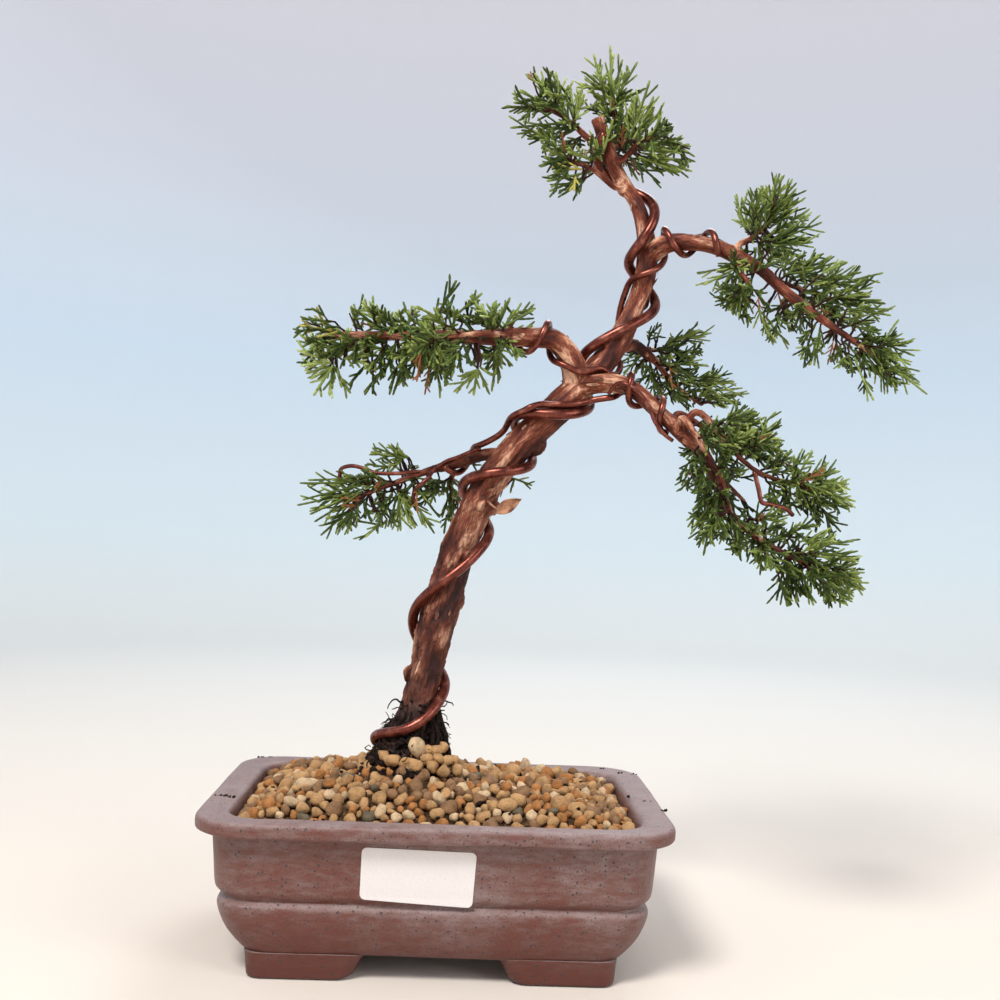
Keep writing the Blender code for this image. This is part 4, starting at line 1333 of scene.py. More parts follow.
# %% Short wires
LOOSE_WIRES = {  # radius, places along the middle
    "low_left_wire": (0.95, (
        (13, 6, 223.5), (9.6, 6, 222.5), (2.8, 10, 219.5), (-3.3, 14, 217.2),
        (-8.6, 17, 213.2), (-11, 15, 209.6), (-13.8, 14, 206.6), (-16.8, 15, 204.2),
        (-17.8, 17, 201.2), (-18, 19, 197.7),
    )),
    "low_left_wire_end": (0.95, (
        (-15.4, 17, 212.2), (-18, 16, 212.0), (-24.7, 15, 210.9), (-35.4, 15, 210.6),
        (-41.7, 16, 212.6), (-47.1, 17, 213.6), (-51.6, 19, 212.8), (-53.2, 20, 211),
        (-53.3, 21, 207),
    )),
    "lower_right_pad_wire": (1.0, (
        (131.6, -36, 216), (133.6, -37, 208), (134.9, -37.5, 202.8), (138, -37, 201.9),
        (146.2, -35, 200.2), (150.2, -32, 197.7),
    )),
    "lower_right_second_wire": (0.9, (
        (69, -17, 249), (72.5, -19.5, 253.6), (77.1, -22.5, 252.8), (82.6, -24.8, 248.5),
        (86.6, -26, 242), (88.8, -27.5, 236.5), (92.5, -28.4, 231.5), (97, -27, 228.5),
    )),
}
for name, (radius, places) in LOOSE_WIRES.items():
    line = smooth(places, 6)
    heap = Heap()
    heap.add(*tube(line, np.full(len(line), radius), 12))
    show(name, heap.mesh(name), WIRE)

# %% [markdown]
# ## Scale-leaf foliage
# A juniper's adult leaves are tiny scales pressed in pairs round a thin green shoot, so
# what looks like a leaf is a green whip about 1 mm thick. A shoot is a leading whip with
# side whips along it. The shoots that give each pad its outline are listed by where they
# start and end in the front view. The rest follow the same rule as the plain masses, only
# finer: twigs leave each stem by the golden angle and carry shoots on alternate sides,
# shortened until they stay within the listed outline, so the sky shows through where it
# should. A whip is a six-sided tube whose rings are pinched in turn one way and the other,
# as the pairs of scales are. All whips of one colour in one pad are joined into one mesh.

# %% Outline shoots
# The colour of each shoot below carries painted light and shade as well as its own green.
SHOOTS = {  # root x, z, tip x, z, side whips, colour
    "apex": (
        (50, 377, 48, 394, 5, "F"), (48, 378, 37, 400, 6, "G"), (45, 380, 41, 400, 5, "F"),
        (43, 381, 30, 398, 6, "F"), (43, 382, 23, 391, 5, "F"), (41, 383, 22, 385, 3, "G"),
        (40, 381, 19, 381, 3, "G"), (44, 376, 24, 373, 5, "G"), (43, 371, 26, 371, 6, "G"),
        (45, 370, 29, 368, 4, "D"), (51, 366, 36, 363, 5, "G"), (52, 363, 36, 355, 4, "D"),
        (54, 359, 39, 359, 4, "G"), (55, 355, 40, 355, 5, "Y"), (55, 353, 38, 348, 4, "G"),
        (55, 351, 40, 344, 3, "G"), (55, 350, 46, 341, 3, "D"), (52, 352, 51, 344, 2, "Y"),
        (51, 378, 54, 390, 3, "F"), (51, 380, 52, 391, 2, "F"), (67, 382, 67, 411, 9, "F"),
        (65, 386, 58, 408, 4, "F"), (68, 385, 77, 405, 4, "G"), (67, 387, 72, 407, 3, "G"),
        (66, 391, 54, 398, 3, "F"), (66, 386, 54, 394, 3, "F"), (67, 383, 59, 390, 2, "F"),
        (67, 383, 76, 391, 3, "F"), (67, 383, 75, 388, 2, "G"), (66, 382, 62, 385, 1, "G"),
        (70, 373, 71, 389, 5, "G"), (72, 371, 77, 386, 5, "F"), (74, 370, 81, 390, 6, "F"),
        (76, 370, 86, 396, 6, "G"), (78, 370, 88, 389, 6, "F"), (79, 369, 91, 386, 5, "F"),
        (80, 368, 93, 378, 5, "F"), (80, 368, 95, 376, 6, "F"), (82, 366, 99, 371, 6, "G"),
        (83, 365, 106, 368, 6, "G"), (82, 364, 105, 360, 6, "F"), (80, 363, 105, 356, 7, "F"),
        (81, 362, 100, 356, 4, "F"), (79, 363, 92, 355, 4, "G"), (77, 362, 91, 350, 5, "D"),
        (74, 362, 80, 352, 4, "G"), (78, 361, 84, 355, 3, "D"), (73, 361, 67, 353, 3, "F"),
        (59, 362, 58, 369, 2, "Y"), (63, 359, 64, 363, 2, "Y"), (70, 376, 67, 372, 3, "D"),
    ),
    "upper_right": (
        (129, 327, 122, 343, 5, "F"), (131, 326, 127, 341, 5, "F"), (132, 326, 133, 345, 6, "G"),
        (135, 327, 134, 347, 6, "G"), (138, 326, 139, 345, 7, "F"), (137, 327, 144, 352, 8, "G"),
        (139, 328, 150, 349, 8, "G"), (140, 328, 156, 343, 8, "G"), (141, 325, 158, 337, 7, "G"),
        (143, 323, 165, 331, 7, "G"), (143, 322, 160, 324, 6, "D"), (141, 320, 161, 322, 5, "G"),
        (141, 319, 154, 317, 4, "D"), (131, 326, 124, 334, 5, "F"), (137, 326, 131, 338, 6, "F"),
        (133, 317, 126, 317, 3, "G"), (139, 329, 152, 347, 7, "G"), (138, 320, 157, 331, 7, "G"),
        (135, 322, 136, 315, 5, "D"), (138, 319, 145, 314, 5, "D"), (145, 310, 157, 316, 5, "G"),
        (148, 307, 163, 318, 6, "G"), (149, 307, 169, 315, 7, "G"), (152, 306, 172, 315, 7, "G"),
        (158, 305, 176, 308, 6, "G"), (160, 304, 183, 309, 7, "G"), (166, 302, 191, 310, 8, "G"),
        (169, 300, 189, 302, 6, "F"), (172, 298, 192, 297, 6, "F"), (173, 295, 195, 293, 6, "G"),
        (177, 293, 197, 291, 6, "G"), (195, 280, 200, 289, 0, "F"), (188, 279, 205, 280, 4, "G"),
        (146, 309, 154, 311, 5, "G"), (154, 305, 162, 308, 6, "G"), (163, 299, 173, 303, 6, "F"),
        (185, 282, 206, 272, 8, "G"), (187, 278, 213, 259, 9, "G"), (187, 277, 213, 255, 6, "F"),
        (186, 275, 203, 255, 8, "G"), (184, 275, 198, 258, 7, "G"), (181, 275, 192, 262, 5, "G"),
        (181, 271, 189, 250, 3, "F"), (178, 272, 181, 263, 4, "G"), (174, 276, 176, 265, 4, "G"),
        (192, 276, 207, 268, 6, "F"), (181, 285, 194, 282, 6, "G"), (175, 288, 188, 286, 6, "F"),
        (165, 285, 162, 265, 5, "G"), (166, 281, 156, 270, 5, "G"), (166, 278, 158, 266, 4, "G"),
        (171, 278, 169, 267, 5, "X"), (172, 278, 174, 267, 4, "X"), (163, 286, 156, 275, 4, "G"),
        (170, 296, 166, 286, 5, "F"), (172, 296, 174, 284, 5, "F"), (162, 297, 161, 288, 4, "G"),
        (167, 297, 172, 287, 4, "F"), (158, 296, 153, 292, 4, "G"), (125, 309, 111, 300, 5, "F"),
        (121, 309, 107, 306, 3, "F"), (125, 308, 117, 295, 6, "G"), (126, 306, 120, 293, 5, "G"),
        (128, 304, 122, 291, 5, "G"), (129, 301, 127, 288, 5, "G"), (130, 298, 131, 284, 5, "G"),
        (136, 292, 141, 278, 5, "F"), (139, 287, 144, 275, 4, "F"), (140, 287, 150, 274, 5, "F"),
        (144, 288, 152, 283, 4, "G"), (145, 299, 148, 286, 5, "X"), (148, 291, 154, 287, 4, "G"),
        (129, 307, 128, 296, 4, "X"), (136, 298, 137, 284, 5, "X"), (123, 312, 130, 312, 5, "F"),
        (131, 315, 137, 310, 4, "D"),
    ),
    "mid_left": (
        (-56, 258, -71, 264, 5, "L"), (-56, 258, -69, 257, 4, "L"), (-56, 257, -67, 252, 4, "L"),
        (-56, 257, -62, 248, 3, "F"), (-55, 257, -63, 243, 3, "F"), (-55, 257, -56, 243, 3, "F"),
        (-55, 257, -47, 245, 3, "F"), (-56, 259, -65, 270, 6, "L"), (-55, 259, -72, 270, 7, "L"),
        (-50, 263, -39, 269, 7, "L"), (-51, 263, -49, 274, 6, "L"), (-49, 261, -38, 257, 5, "F"),
        (-52, 272, -70, 275, 4, "Y"), (-60, 276, -64, 283, 0, "Y"), (-50, 260, -42, 263, 5, "L"),
        (-52, 261, -45, 270, 6, "L"), (-53, 256, -51, 247, 4, "F"), (-56, 256, -65, 250, 3, "F"),
        (-35, 275, -47, 282, 4, "G"), (-35, 275, -41, 285, 3, "G"), (-32, 275, -39, 285, 4, "G"),
        (-29, 275, -33, 282, 3, "G"), (-46, 275, -47, 280, 0, "G"), (-24, 275, -26, 283, 5, "G"),
        (-23, 275, -19, 284, 4, "G"), (-16, 274, -12, 281, 4, "G"), (-11, 278, -1, 297, 5, "D"),
        (-5, 281, -2, 293, 1, "D"), (-1, 282, 10, 292, 3, "G"), (1, 282, 12, 280, 2, "G"),
        (17, 276, 10, 285, 4, "G"), (17, 277, 16, 288, 4, "G"), (18, 277, 23, 290, 4, "G"),
        (21, 278, 35, 286, 3, "G"), (21, 277, 25, 285, 3, "G"), (22, 274, 35, 279, 5, "G"),
        (-32, 274, -21, 274, 4, "G"), (-42, 272, -32, 278, 4, "G"), (17, 273, 29, 265, 5, "G"),
        (18, 268, 26, 259, 4, "G"), (18, 266, 20, 253, 5, "G"), (18, 266, 17, 251, 4, "G"),
        (17, 266, 8, 261, 4, "G"), (10, 258, -0, 246, 4, "F"), (10, 258, 8, 246, 3, "F"),
        (10, 258, 16, 248, 4, "F"), (10, 258, 2, 252, 3, "F"), (11, 259, 17, 255, 3, "G"),
        (-7, 271, 8, 273, 4, "G"), (-7, 271, -8, 258, 6, "F"), (-9, 268, 0, 256, 6, "F"),
        (-10, 264, -6, 244, 5, "G"), (-6, 258, -3, 250, 4, "G"), (-26, 258, -30, 246, 5, "D"),
        (-25, 258, -23, 248, 4, "D"), (-25, 259, -20, 252, 4, "G"), (-32, 257, -41, 244, 4, "D"),
        (-37, 254, -36, 244, 3, "D"), (-31, 264, -38, 257, 5, "G"), (-27, 268, -31, 260, 5, "G"),
        (-21, 270, -25, 262, 6, "G"), (-16, 264, -17, 250, 5, "X"), (-12, 258, -13, 246, 4, "X"),
        (-41, 257, -48, 249, 4, "D"), (-20, 269, -15, 258, 6, "G"), (-3, 269, 2, 263, 6, "F"),
        (-14, 271, -10, 258, 6, "G"), (-33, 270, -28, 259, 6, "G"), (-28, 264, -34, 251, 5, "D"),
        (-5, 265, -10, 252, 5, "G"),
    ),
    "low_left": (
        (-38, 209, -68, 205, 5, "G"), (-40, 207, -71, 203, 5, "G"), (-41, 205, -71, 198, 5, "G"),
        (-42, 203, -70, 193, 5, "G"), (-42, 202, -67, 191, 4, "G"), (-43, 201, -66, 190, 4, "G"),
        (-44, 200, -64, 187, 4, "G"), (-43, 198, -61, 180, 6, "G"), (-44, 197, -59, 181, 5, "G"),
        (-47, 193, -48, 181, 2, "G"), (-32, 187, -43, 179, 4, "G"), (-32, 186, -45, 188, 2, "G"),
        (-30, 189, -33, 185, 2, "F"), (-37, 207, -51, 207, 6, "F"), (-36, 206, -46, 204, 6, "F"),
        (-25, 202, -23, 183, 8, "F"), (-24, 201, -16, 184, 7, "F"), (-28, 202, -36, 188, 6, "G"),
        (-28, 200, -39, 191, 5, "G"), (-21, 201, -8, 186, 6, "F"), (-15, 194, -8, 184, 3, "G"),
        (-26, 201, -28, 185, 6, "G"), (-23, 201, -20, 187, 5, "F"), (-31, 203, -35, 195, 5, "G"),
        (-26, 203, -20, 198, 5, "F"), (-21, 219, -32, 224, 5, "F"), (-22, 219, -40, 219, 6, "F"),
        (-24, 219, -37, 222, 4, "F"), (-24, 217, -35, 212, 6, "F"), (-24, 217, -27, 223, 3, "F"),
        (-21, 215, -17, 213, 4, "G"), (-31, 214, -41, 214, 4, "G"), (-25, 216, -31, 214, 4, "F"),
        (-11, 209, -16, 202, 5, "D"), (-10, 209, -8, 203, 4, "D"), (-6, 210, -7, 201, 3, "D"),
        (-12, 199, -5, 190, 2, "G"), (-2, 189, -3, 183, 1, "G"), (-2, 209, 4, 200, 6, "G"),
        (-3, 205, 1, 195, 6, "G"), (-1, 202, -4, 191, 4, "G"), (-10, 207, -13, 203, 4, "G"),
        (0, 209, 3, 206, 4, "G"), (-1, 198, 2, 189, 5, "G"), (29, 211, 39, 208, 4, "G"),
        (30, 211, 28, 205, 3, "G"), (8, 218, 12, 216, 3, "G"),
    ),
    "back_right": (
        (104, 281, 124, 286, 6, "F"), (110, 284, 117, 290, 2, "G"), (113, 283, 118, 287, 2, "G"),
        (113, 283, 121, 284, 2, "F"), (112, 282, 119, 281, 3, "G"), (102, 279, 107, 275, 3, "G"),
        (100, 279, 102, 275, 2, "G"), (107, 275, 118, 276, 4, "G"), (108, 274, 117, 274, 3, "G"),
        (107, 274, 110, 271, 3, "D"), (111, 276, 117, 280, 3, "G"), (97, 283, 99, 287, 0, "T"),
        (96, 283, 92, 285, 0, "G"), (91, 276, 83, 273, 4, "G"), (91, 275, 81, 264, 6, "G"),
        (91, 274, 81, 267, 5, "G"), (88, 268, 84, 261, 4, "G"), (87, 267, 86, 261, 4, "G"),
        (88, 277, 84, 278, 3, "G"), (91, 271, 90, 264, 4, "G"), (92, 270, 100, 252, 6, "G"),
        (96, 260, 101, 255, 3, "G"), (98, 274, 108, 265, 7, "F"), (101, 270, 122, 271, 6, "F"),
        (103, 264, 107, 253, 6, "D"), (107, 267, 114, 267, 5, "D"), (124, 264, 125, 271, 2, "D"),
        (124, 264, 129, 268, 2, "G"), (125, 264, 134, 267, 3, "D"), (114, 261, 136, 261, 7, "F"),
        (115, 257, 141, 259, 8, "F"), (120, 255, 142, 255, 8, "F"), (121, 254, 137, 253, 5, "F"),
        (120, 257, 133, 252, 5, "G"), (107, 259, 114, 250, 6, "F"), (120, 262, 135, 263, 6, "F"),
        (111, 262, 124, 265, 6, "G"), (104, 268, 111, 260, 6, "G"), (109, 265, 120, 260, 6, "F"),
    ),
    "lower_right": (
        (121, 239, 131, 246, 4, "D"), (121, 239, 134, 244, 5, "G"), (122, 238, 131, 237, 5, "G"),
        (128, 232, 135, 239, 5, "G"), (131, 231, 144, 242, 7, "G"), (132, 230, 145, 238, 7, "F"),
        (133, 229, 144, 232, 6, "F"), (134, 228, 146, 229, 6, "F"), (134, 227, 149, 225, 6, "G"),
        (133, 225, 145, 221, 6, "G"), (127, 227, 126, 235, 5, "G"), (127, 225, 123, 226, 5, "G"),
        (129, 229, 128, 233, 4, "G"), (113, 238, 115, 227, 5, "G"), (111, 238, 111, 229, 4, "G"),
        (117, 239, 120, 229, 5, "G"), (121, 237, 125, 230, 6, "G"), (124, 237, 131, 232, 6, "F"),
        (144, 215, 151, 225, 3, "D"), (148, 216, 160, 225, 5, "G"), (155, 219, 158, 215, 3, "G"),
        (156, 213, 169, 221, 6, "G"), (162, 213, 174, 220, 6, "G"), (165, 211, 178, 212, 7, "F"),
        (166, 209, 182, 205, 7, "F"), (169, 209, 180, 202, 5, "G"), (171, 206, 175, 199, 3, "D"),
        (161, 209, 169, 203, 5, "G"), (162, 207, 174, 190, 5, "D"), (157, 208, 167, 194, 6, "D"),
        (155, 210, 157, 202, 6, "G"), (152, 210, 151, 201, 5, "G"), (148, 209, 144, 202, 6, "F"),
        (145, 208, 141, 204, 4, "G"), (154, 218, 150, 218, 4, "G"), (140, 216, 148, 219, 5, "G"),
        (158, 211, 162, 206, 6, "F"), (108, 220, 103, 209, 2, "G"), (107, 228, 103, 224, 3, "G"),
        (109, 222, 106, 220, 3, "D"), (116, 208, 108, 199, 5, "D"), (116, 205, 107, 192, 6, "G"),
        (116, 203, 111, 184, 6, "G"), (117, 200, 115, 180, 6, "G"), (117, 197, 118, 183, 5, "G"),
        (119, 197, 124, 186, 6, "D"), (113, 208, 110, 208, 4, "D"), (123, 206, 120, 193, 7, "G"),
        (125, 197, 130, 187, 6, "D"), (111, 215, 109, 211, 4, "G"), (121, 215, 129, 216, 5, "F"),
        (121, 207, 125, 200, 6, "F"), (115, 211, 112, 204, 5, "G"), (138, 190, 125, 183, 5, "G"),
        (138, 188, 128, 180, 5, "G"), (137, 188, 129, 179, 4, "G"), (137, 186, 134, 178, 4, "D"),
        (139, 188, 139, 176, 5, "G"), (141, 187, 142, 172, 6, "G"), (143, 187, 143, 176, 6, "G"),
        (145, 187, 147, 171, 6, "D"), (147, 197, 145, 188, 5, "F"), (135, 195, 144, 197, 5, "F"),
        (135, 194, 131, 189, 5, "D"), (149, 192, 151, 185, 6, "G"), (142, 194, 135, 188, 6, "F"),
        (129, 195, 135, 191, 5, "D"), (140, 198, 141, 191, 5, "G"), (151, 178, 147, 158, 6, "D"),
        (152, 178, 151, 159, 7, "G"), (154, 177, 154, 158, 7, "D"), (156, 175, 156, 158, 6, "G"),
        (158, 174, 164, 158, 8, "G"), (161, 174, 167, 161, 7, "G"), (165, 173, 172, 160, 7, "G"),
        (170, 172, 179, 157, 9, "G"), (172, 172, 182, 162, 6, "F"), (169, 174, 187, 166, 8, "F"),
        (168, 176, 186, 170, 7, "F"), (166, 177, 184, 175, 7, "F"), (165, 180, 184, 178, 8, "F"),
        (163, 182, 183, 180, 7, "G"), (162, 183, 177, 187, 6, "G"), (162, 184, 182, 188, 5, "G"),
        (159, 185, 173, 189, 6, "F"), (157, 186, 170, 190, 5, "F"), (156, 192, 167, 194, 4, "D"),
        (153, 181, 150, 171, 7, "D"), (159, 180, 155, 164, 8, "D"), (163, 178, 162, 164, 8, "G"),
        (156, 184, 159, 175, 7, "G"), (166, 175, 173, 166, 7, "G"),
    ),
}
KINDS = {
    "D": "deep", "G": "green", "F": "fresh", "L": "light", "T": "tip", "Y": "yellowing", "X": "dead",
}
PADS = {  # depth that the spots above are for, whip radius
    "apex": (0, 0.53), "upper_right": (-14, 0.49), "mid_left": (-14, 0.57),
    "low_left": (20, 0.50), "back_right": (28, 0.46), "lower_right": (-20, 0.51),
}
print("outline shoots:", sum(len(rows) for rows in SHOOTS.values()))

# %% Whips and shoots
# deep, green, fresh, light and tip are one green at five lightnesses. They are partly the shoots' own
# colours, with paler new growth at the tips, and partly painted light and shade: the darker kinds stand
# for shoots in shade and the paler ones for shoots in full light. Yellowing and dead are the shoots' own
# colours.
GREENS = {
    "deep": (0.030, 0.050, 0.006), "green": (0.078, 0.112, 0.018), "fresh": (0.178, 0.232, 0.050),
    "light": (0.285, 0.345, 0.095), "tip": (0.400, 0.480, 0.190),
    "yellowing": (0.400, 0.345, 0.080), "dead": (0.240, 0.090, 0.030),
}
DEEPER = {"tip": "light", "light": "fresh", "fresh": "green", "green": "deep"}
FRESHER = {"deep": "green", "green": "fresh", "fresh": "light", "light": "tip"}
RING_PITCH = 1.3
TWIG_SPACING = 3.0
TWIG_LEAN = (80, 34)
TWIG_SHARE = 0.72
SHORTEST_TWIG = 3.5
SIDE_WHIP_LENGTHS = (5.0, 11.5)
SHORTEST_SHOOT = 5.5
WHIP_SIDES, TWIG_SIDES = 6, 5
SHOOTS_PER_TWIG = 6
TRIES_PER_SHOOT = 5
OUTLINE_ROOM = 2.4
SHOOT_ROOM = 1.2
WHIP_ROOM = 0.9
GOLDEN_ANGLE = math.radians(137.5)
EYE = np.array(CAMERA_SPOT) - (POT_X, 0.0, 0.0)


def from_segments(point, starts, ends):
    """Distance from a point to the nearest of some straight pieces."""
    span = ends - starts
    share = np.einsum("ij,ij->i", point - starts, span) / np.einsum("ij,ij->i", span, span)
    nearest = starts + span * np.clip(share, 0.0, 1.0)[:, None]
    return np.linalg.norm(point - nearest, axis=1).min()


def clear_of_wood(point, radius):
    """True if a ball at the point touches no limb or wire."""
    for solid in solids:
        centre, thickness = solid.nearest(point)
        if np.linalg.norm(point - centre) < thickness + radius:
            return False
    return True


def along_sight(spots, old_depth, depth):
    """Spots (x, z) that lie at one depth, moved along the line of sight to another."""
    share = (depth - EYE[1]) / (np.asarray(old_depth) - EYE[1])
    return EYE[[0, 2]] + (spots - EYE[[0, 2]]) * share[..., None]


def at_depth(spot, plane, depth):
    """The point at some depth that covers a spot (x, z) of the plane in the front view."""
    x, z = along_sight(np.array(spot), plane, depth)
    return np.array((x, depth, z))


def turned_out(forward, around, lean):
    """A direction that leans away from forward, on the side given by the turn around it."""
    side = unit(np.cross(forward, (0.2, 0.1, 1.0)))
    over = np.cross(forward, side)
    outward = side * math.cos(around) + over * math.sin(around)
    return unit(forward * math.cos(lean) + outward * math.sin(lean))


class Pad:
    """One pad of foliage while it grows: its heaps of whips, its dice and its outline."""

    def __init__(self, name, seed):
        self.plane, self.radius = PADS[name]
        self.masses = [f"mass_{name}_{part}" for part in MASSES[name]]
        self.rows = SHOOTS[name]
        self.starts = np.array([row[0:2] for row in self.rows], float)
        self.ends = np.array([row[2:4] for row in self.rows], float)
        self.heaps = {kind: Heap() for kind in GREENS}
        self.twigs = Heap()
        self.dice = random.Random(seed)
        self.shoots = []

    def whip(self, kind, root, heading, length, size=1.0):
        """A nearly straight whip with a rounded tip, which is often of a fresher green."""
        dice = self.dice
        shares = np.linspace(0.0, 1.0, max(3, round(length / RING_PITCH)) + 1)
        shares = np.append(shares[:-1], [1.0 - 0.35 / length, 1.0])
        bend = np.array([dice.gauss(0, 0.045) for _ in range(3)]) + (0, 0, 0.02)
        points = root + np.outer(shares, heading * length) + np.outer(shares**2, bend * length)
        radii = np.full(len(shares), self.radius * size)
        radii[0] *= 0.75
        radii[-2:] *= (0.78, 0.36)
        flat = np.where(np.arange(len(points))[:, None] % 2, (0.90, 1.10), (1.10, 0.90))
        split = max(2, len(points) - 4)
        tip_kind = FRESHER.get(kind)
        if tip_kind and dice.random() < 0.6:
            end = split + 1
            self.heaps[kind].add(*tube(points[:end], radii[:end], WHIP_SIDES, flat[:end]))
            self.heaps[tip_kind].add(*tube(points[split:], radii[split:] * 1.02, WHIP_SIDES, flat[split:]))
        else:
            self.heaps[kind].add(*tube(points, radii, WHIP_SIDES, flat))
        return points

    def shoot(self, kind, root, tip, count):
        """A leading whip with side whips on alternate sides, shorter towards the tip."""
        dice = self.dice
        length = np.linalg.norm(tip - root)
        heading = (tip - root) / length
        slim = 0.7 if kind == "dead" else 1.0
        leader = self.whip(kind, root, heading, length, 1.12 * slim)
        self.shoots.append((root, tip))
        turn = dice.uniform(0, math.tau)
        for k in range(count):
            share = 0.08 + 0.60 * (k + dice.uniform(-0.25, 0.25)) / max(1, count - 1)
            spot = leader[int(np.clip(share, 0.04, 0.9) * (len(leader) - 1))]
            around = turn + k * math.pi + dice.uniform(-0.8, 0.8)
            way = turned_out(heading, around, math.radians(dice.uniform(22, 40)))
            out = float(np.clip(length * dice.uniform(0.38, 0.62), *SIDE_WHIP_LENGTHS))
            out *= 1.08 - 0.45 * share
            own = kind
            if dice.random() < 0.34:
                own = dice.choice((DEEPER, FRESHER)).get(kind, kind)
            self.whip(own, spot, way, out * (0.7 if kind == "dead" else 1.0), 0.94 * slim)

    def twig(self, root, tip, thick=0.62):
        """A thin brown twig, a little crooked."""
        points = root + np.outer(np.linspace(0, 1, 6), tip - root)
        sag = np.linalg.norm(tip - root) * 0.035
        points[1:-1] += np.array([[self.dice.gauss(0, sag) for _ in range(3)] for _ in range(4)])
        self.twigs.add(*tube(points, np.linspace(thick, thick * 0.62, 6), TWIG_SIDES))

    def stem_near(self, spot):
        """A stem point near a spot of the front view: one of the nearest, by chance."""
        found = []
        for name in self.masses:
            points = stems[name].points
            flat = along_sight(points[:, (0, 2)], points[:, 1], self.plane)
            away = np.linalg.norm(flat - spot, axis=1)
            i = int(away.argmin())
            found.append((away[i], points[i], reaches[name]))
        best = min(row[0] for row in found)
        return self.dice.choice([row for row in found if row[0] < best + 4.0])

    def outline_shoots(self):
        dice = self.dice
        for x, z, tip_x, tip_z, count, code in self.rows:
            for _ in range(TRIES_PER_SHOOT):
                _, foot, reach = self.stem_near((x, z))
                root = at_depth((x, z), self.plane, foot[1] + dice.uniform(-3, 3))
                away = np.hypot(tip_x - foot[0], tip_z - foot[2])
                room = math.sqrt(max(reach**2 - away**2, 16.0))
                deep = root[1] + dice.uniform(-0.75, 0.75) * min(room, 14.0)
                tip = at_depth((tip_x, tip_z), self.plane, deep)
                places = [root + (tip - root) * part for part in (0.1, 0.4, 0.7, 1.0)]
                if all(clear_of_wood(place, WHIP_ROOM) for place in places):
                    break
            else:
                continue
            if np.linalg.norm(root - foot) > 2.5:
                self.twig(foot, root, 0.7)
            self.shoot(KINDS[code], root, tip, count)

    def inside(self, point):
        """True if a point lies within the outline in the front view and is clear of the wood."""
        spot = along_sight(point[[0, 2]], point[1], self.plane)
        near = from_segments(spot, self.starts, self.ends) < OUTLINE_ROOM
        return near and clear_of_wood(point, 1.0)

    def kind_with_painted_shade(self, point, foot):
        """A random green with painted shade: the higher a shoot ends above its twig's foot, the fresher
        its green, and the lower, the darker. A few are dead.
        """
        value = self.dice.random() * 0.8 + (point[2] - foot[2]) / 18.0 * 0.25
        if self.dice.random() < 0.03:
            return "dead"
        if value < 0.42:
            return "deep"
        return "green" if value < 0.70 else "fresh"

    def inner_shoots(self, name):
        """Twigs by the golden angle up the stem, each with shoots on alternate sides."""
        dice = self.dice
        stem, reach, first = stems[name], reaches[name], firsts[name]
        count = max(6, round(stem.length * (1 - first) / TWIG_SPACING))
        for i in range(count + 1):
            share = i / count
            distance = stem.length * (first + (1 - first) * share)
            foot, forward, _ = stem.place(min(distance, stem.length - 0.5))
            lean = TWIG_LEAN[0] + (TWIG_LEAN[1] - TWIG_LEAN[0]) * share
            lean = math.radians(lean + dice.uniform(-10, 10))
            heading = turned_out(forward, i * GOLDEN_ANGLE + dice.uniform(-0.35, 0.35), lean)
            length = reach * TWIG_SHARE * dice.uniform(0.85, 1.1)
            while length > SHORTEST_TWIG and not self.inside(foot + heading * length):
                length *= 0.82
            if length <= SHORTEST_TWIG:
                continue
            tip = foot + heading * length
            self.twig(foot, tip)
            for j in range(SHOOTS_PER_TWIG):
                part = 0.25 + 0.75 * j / (SHOOTS_PER_TWIG - 1)
                root = foot + (tip - foot) * part
                lean = math.radians(10 if part == 1 else dice.uniform(32, 60))
                way = turned_out(heading, j * math.radians(155) + i + dice.uniform(-0.4, 0.4), lean)
                out = dice.uniform(8.5, 14.0)
                while out > SHORTEST_SHOOT and not self.inside(root + way * out):
                    out *= 0.84
                end = root + way * out
                if out <= SHORTEST_SHOOT or not clear_of_wood(root + way * out * 0.5, WHIP_ROOM):
                    continue
                starts, ends = (np.array(side) for side in zip(*self.shoots))
                if from_segments(end, starts, ends) < SHOOT_ROOM:
                    continue
                self.shoot(self.kind_with_painted_shade(end, foot), root, end, dice.randint(3, 5) if out > 8 else 2)


for radius, places in LOOSE_WIRES.values():
    wires.append(Limb([(*place, radius) for place in places], 4))
solids = list(limbs.values()) + wires

# %% Foliage pads
def leaf_finish(kind, colour):
    leaf = Finish("scale_leaves_" + kind, 0.55)
    leaf.plain(colour)
    leaf.shader.inputs["Specular IOR Level"].default_value = 0.25
    return leaf.material


LEAVES = {kind: leaf_finish(kind, colour) for kind, colour in GREENS.items()}
foliage_triangles = 0
for seed, name in enumerate(PADS):
    pad = Pad(name, 40 + seed)
    pad.outline_shoots()
    outer = len(pad.shoots)
    for mass in pad.masses:
        pad.inner_shoots(mass)
    print(name, outer, "outline shoots and", len(pad.shoots) - outer, "inside")
    replaced = pad.masses
    for kind, heap in pad.heaps.items():
        if heap.count:
            title = f"{name}_whips_{kind}"
            finish = LEAVES[kind]
            foliage_triangles += show(title, heap.mesh(title), finish, replaced)
            replaced = ()
    show(f"{name}_twigs", pad.twigs.mesh(f"{name}_twigs"), BARK)
print("foliage triangles:", foliage_triangles)

# %% [markdown]
# ## Soil and gravel
# The pot is filled with soil and topped with fired-clay gravel, 3 to 8 mm across, that
# rises in a low heap round the foot of the tree. Real gravel lies where it is dropped, so
# each grain here is dropped too: of several places tried, it takes the one where it comes
# to rest lowest on the soil and on the grains already there. A grain is a lumpy ball that is
# squared off, chipped flat on a few sides and turned at random. There are five tones, and
# the grains of each are joined into one mesh.

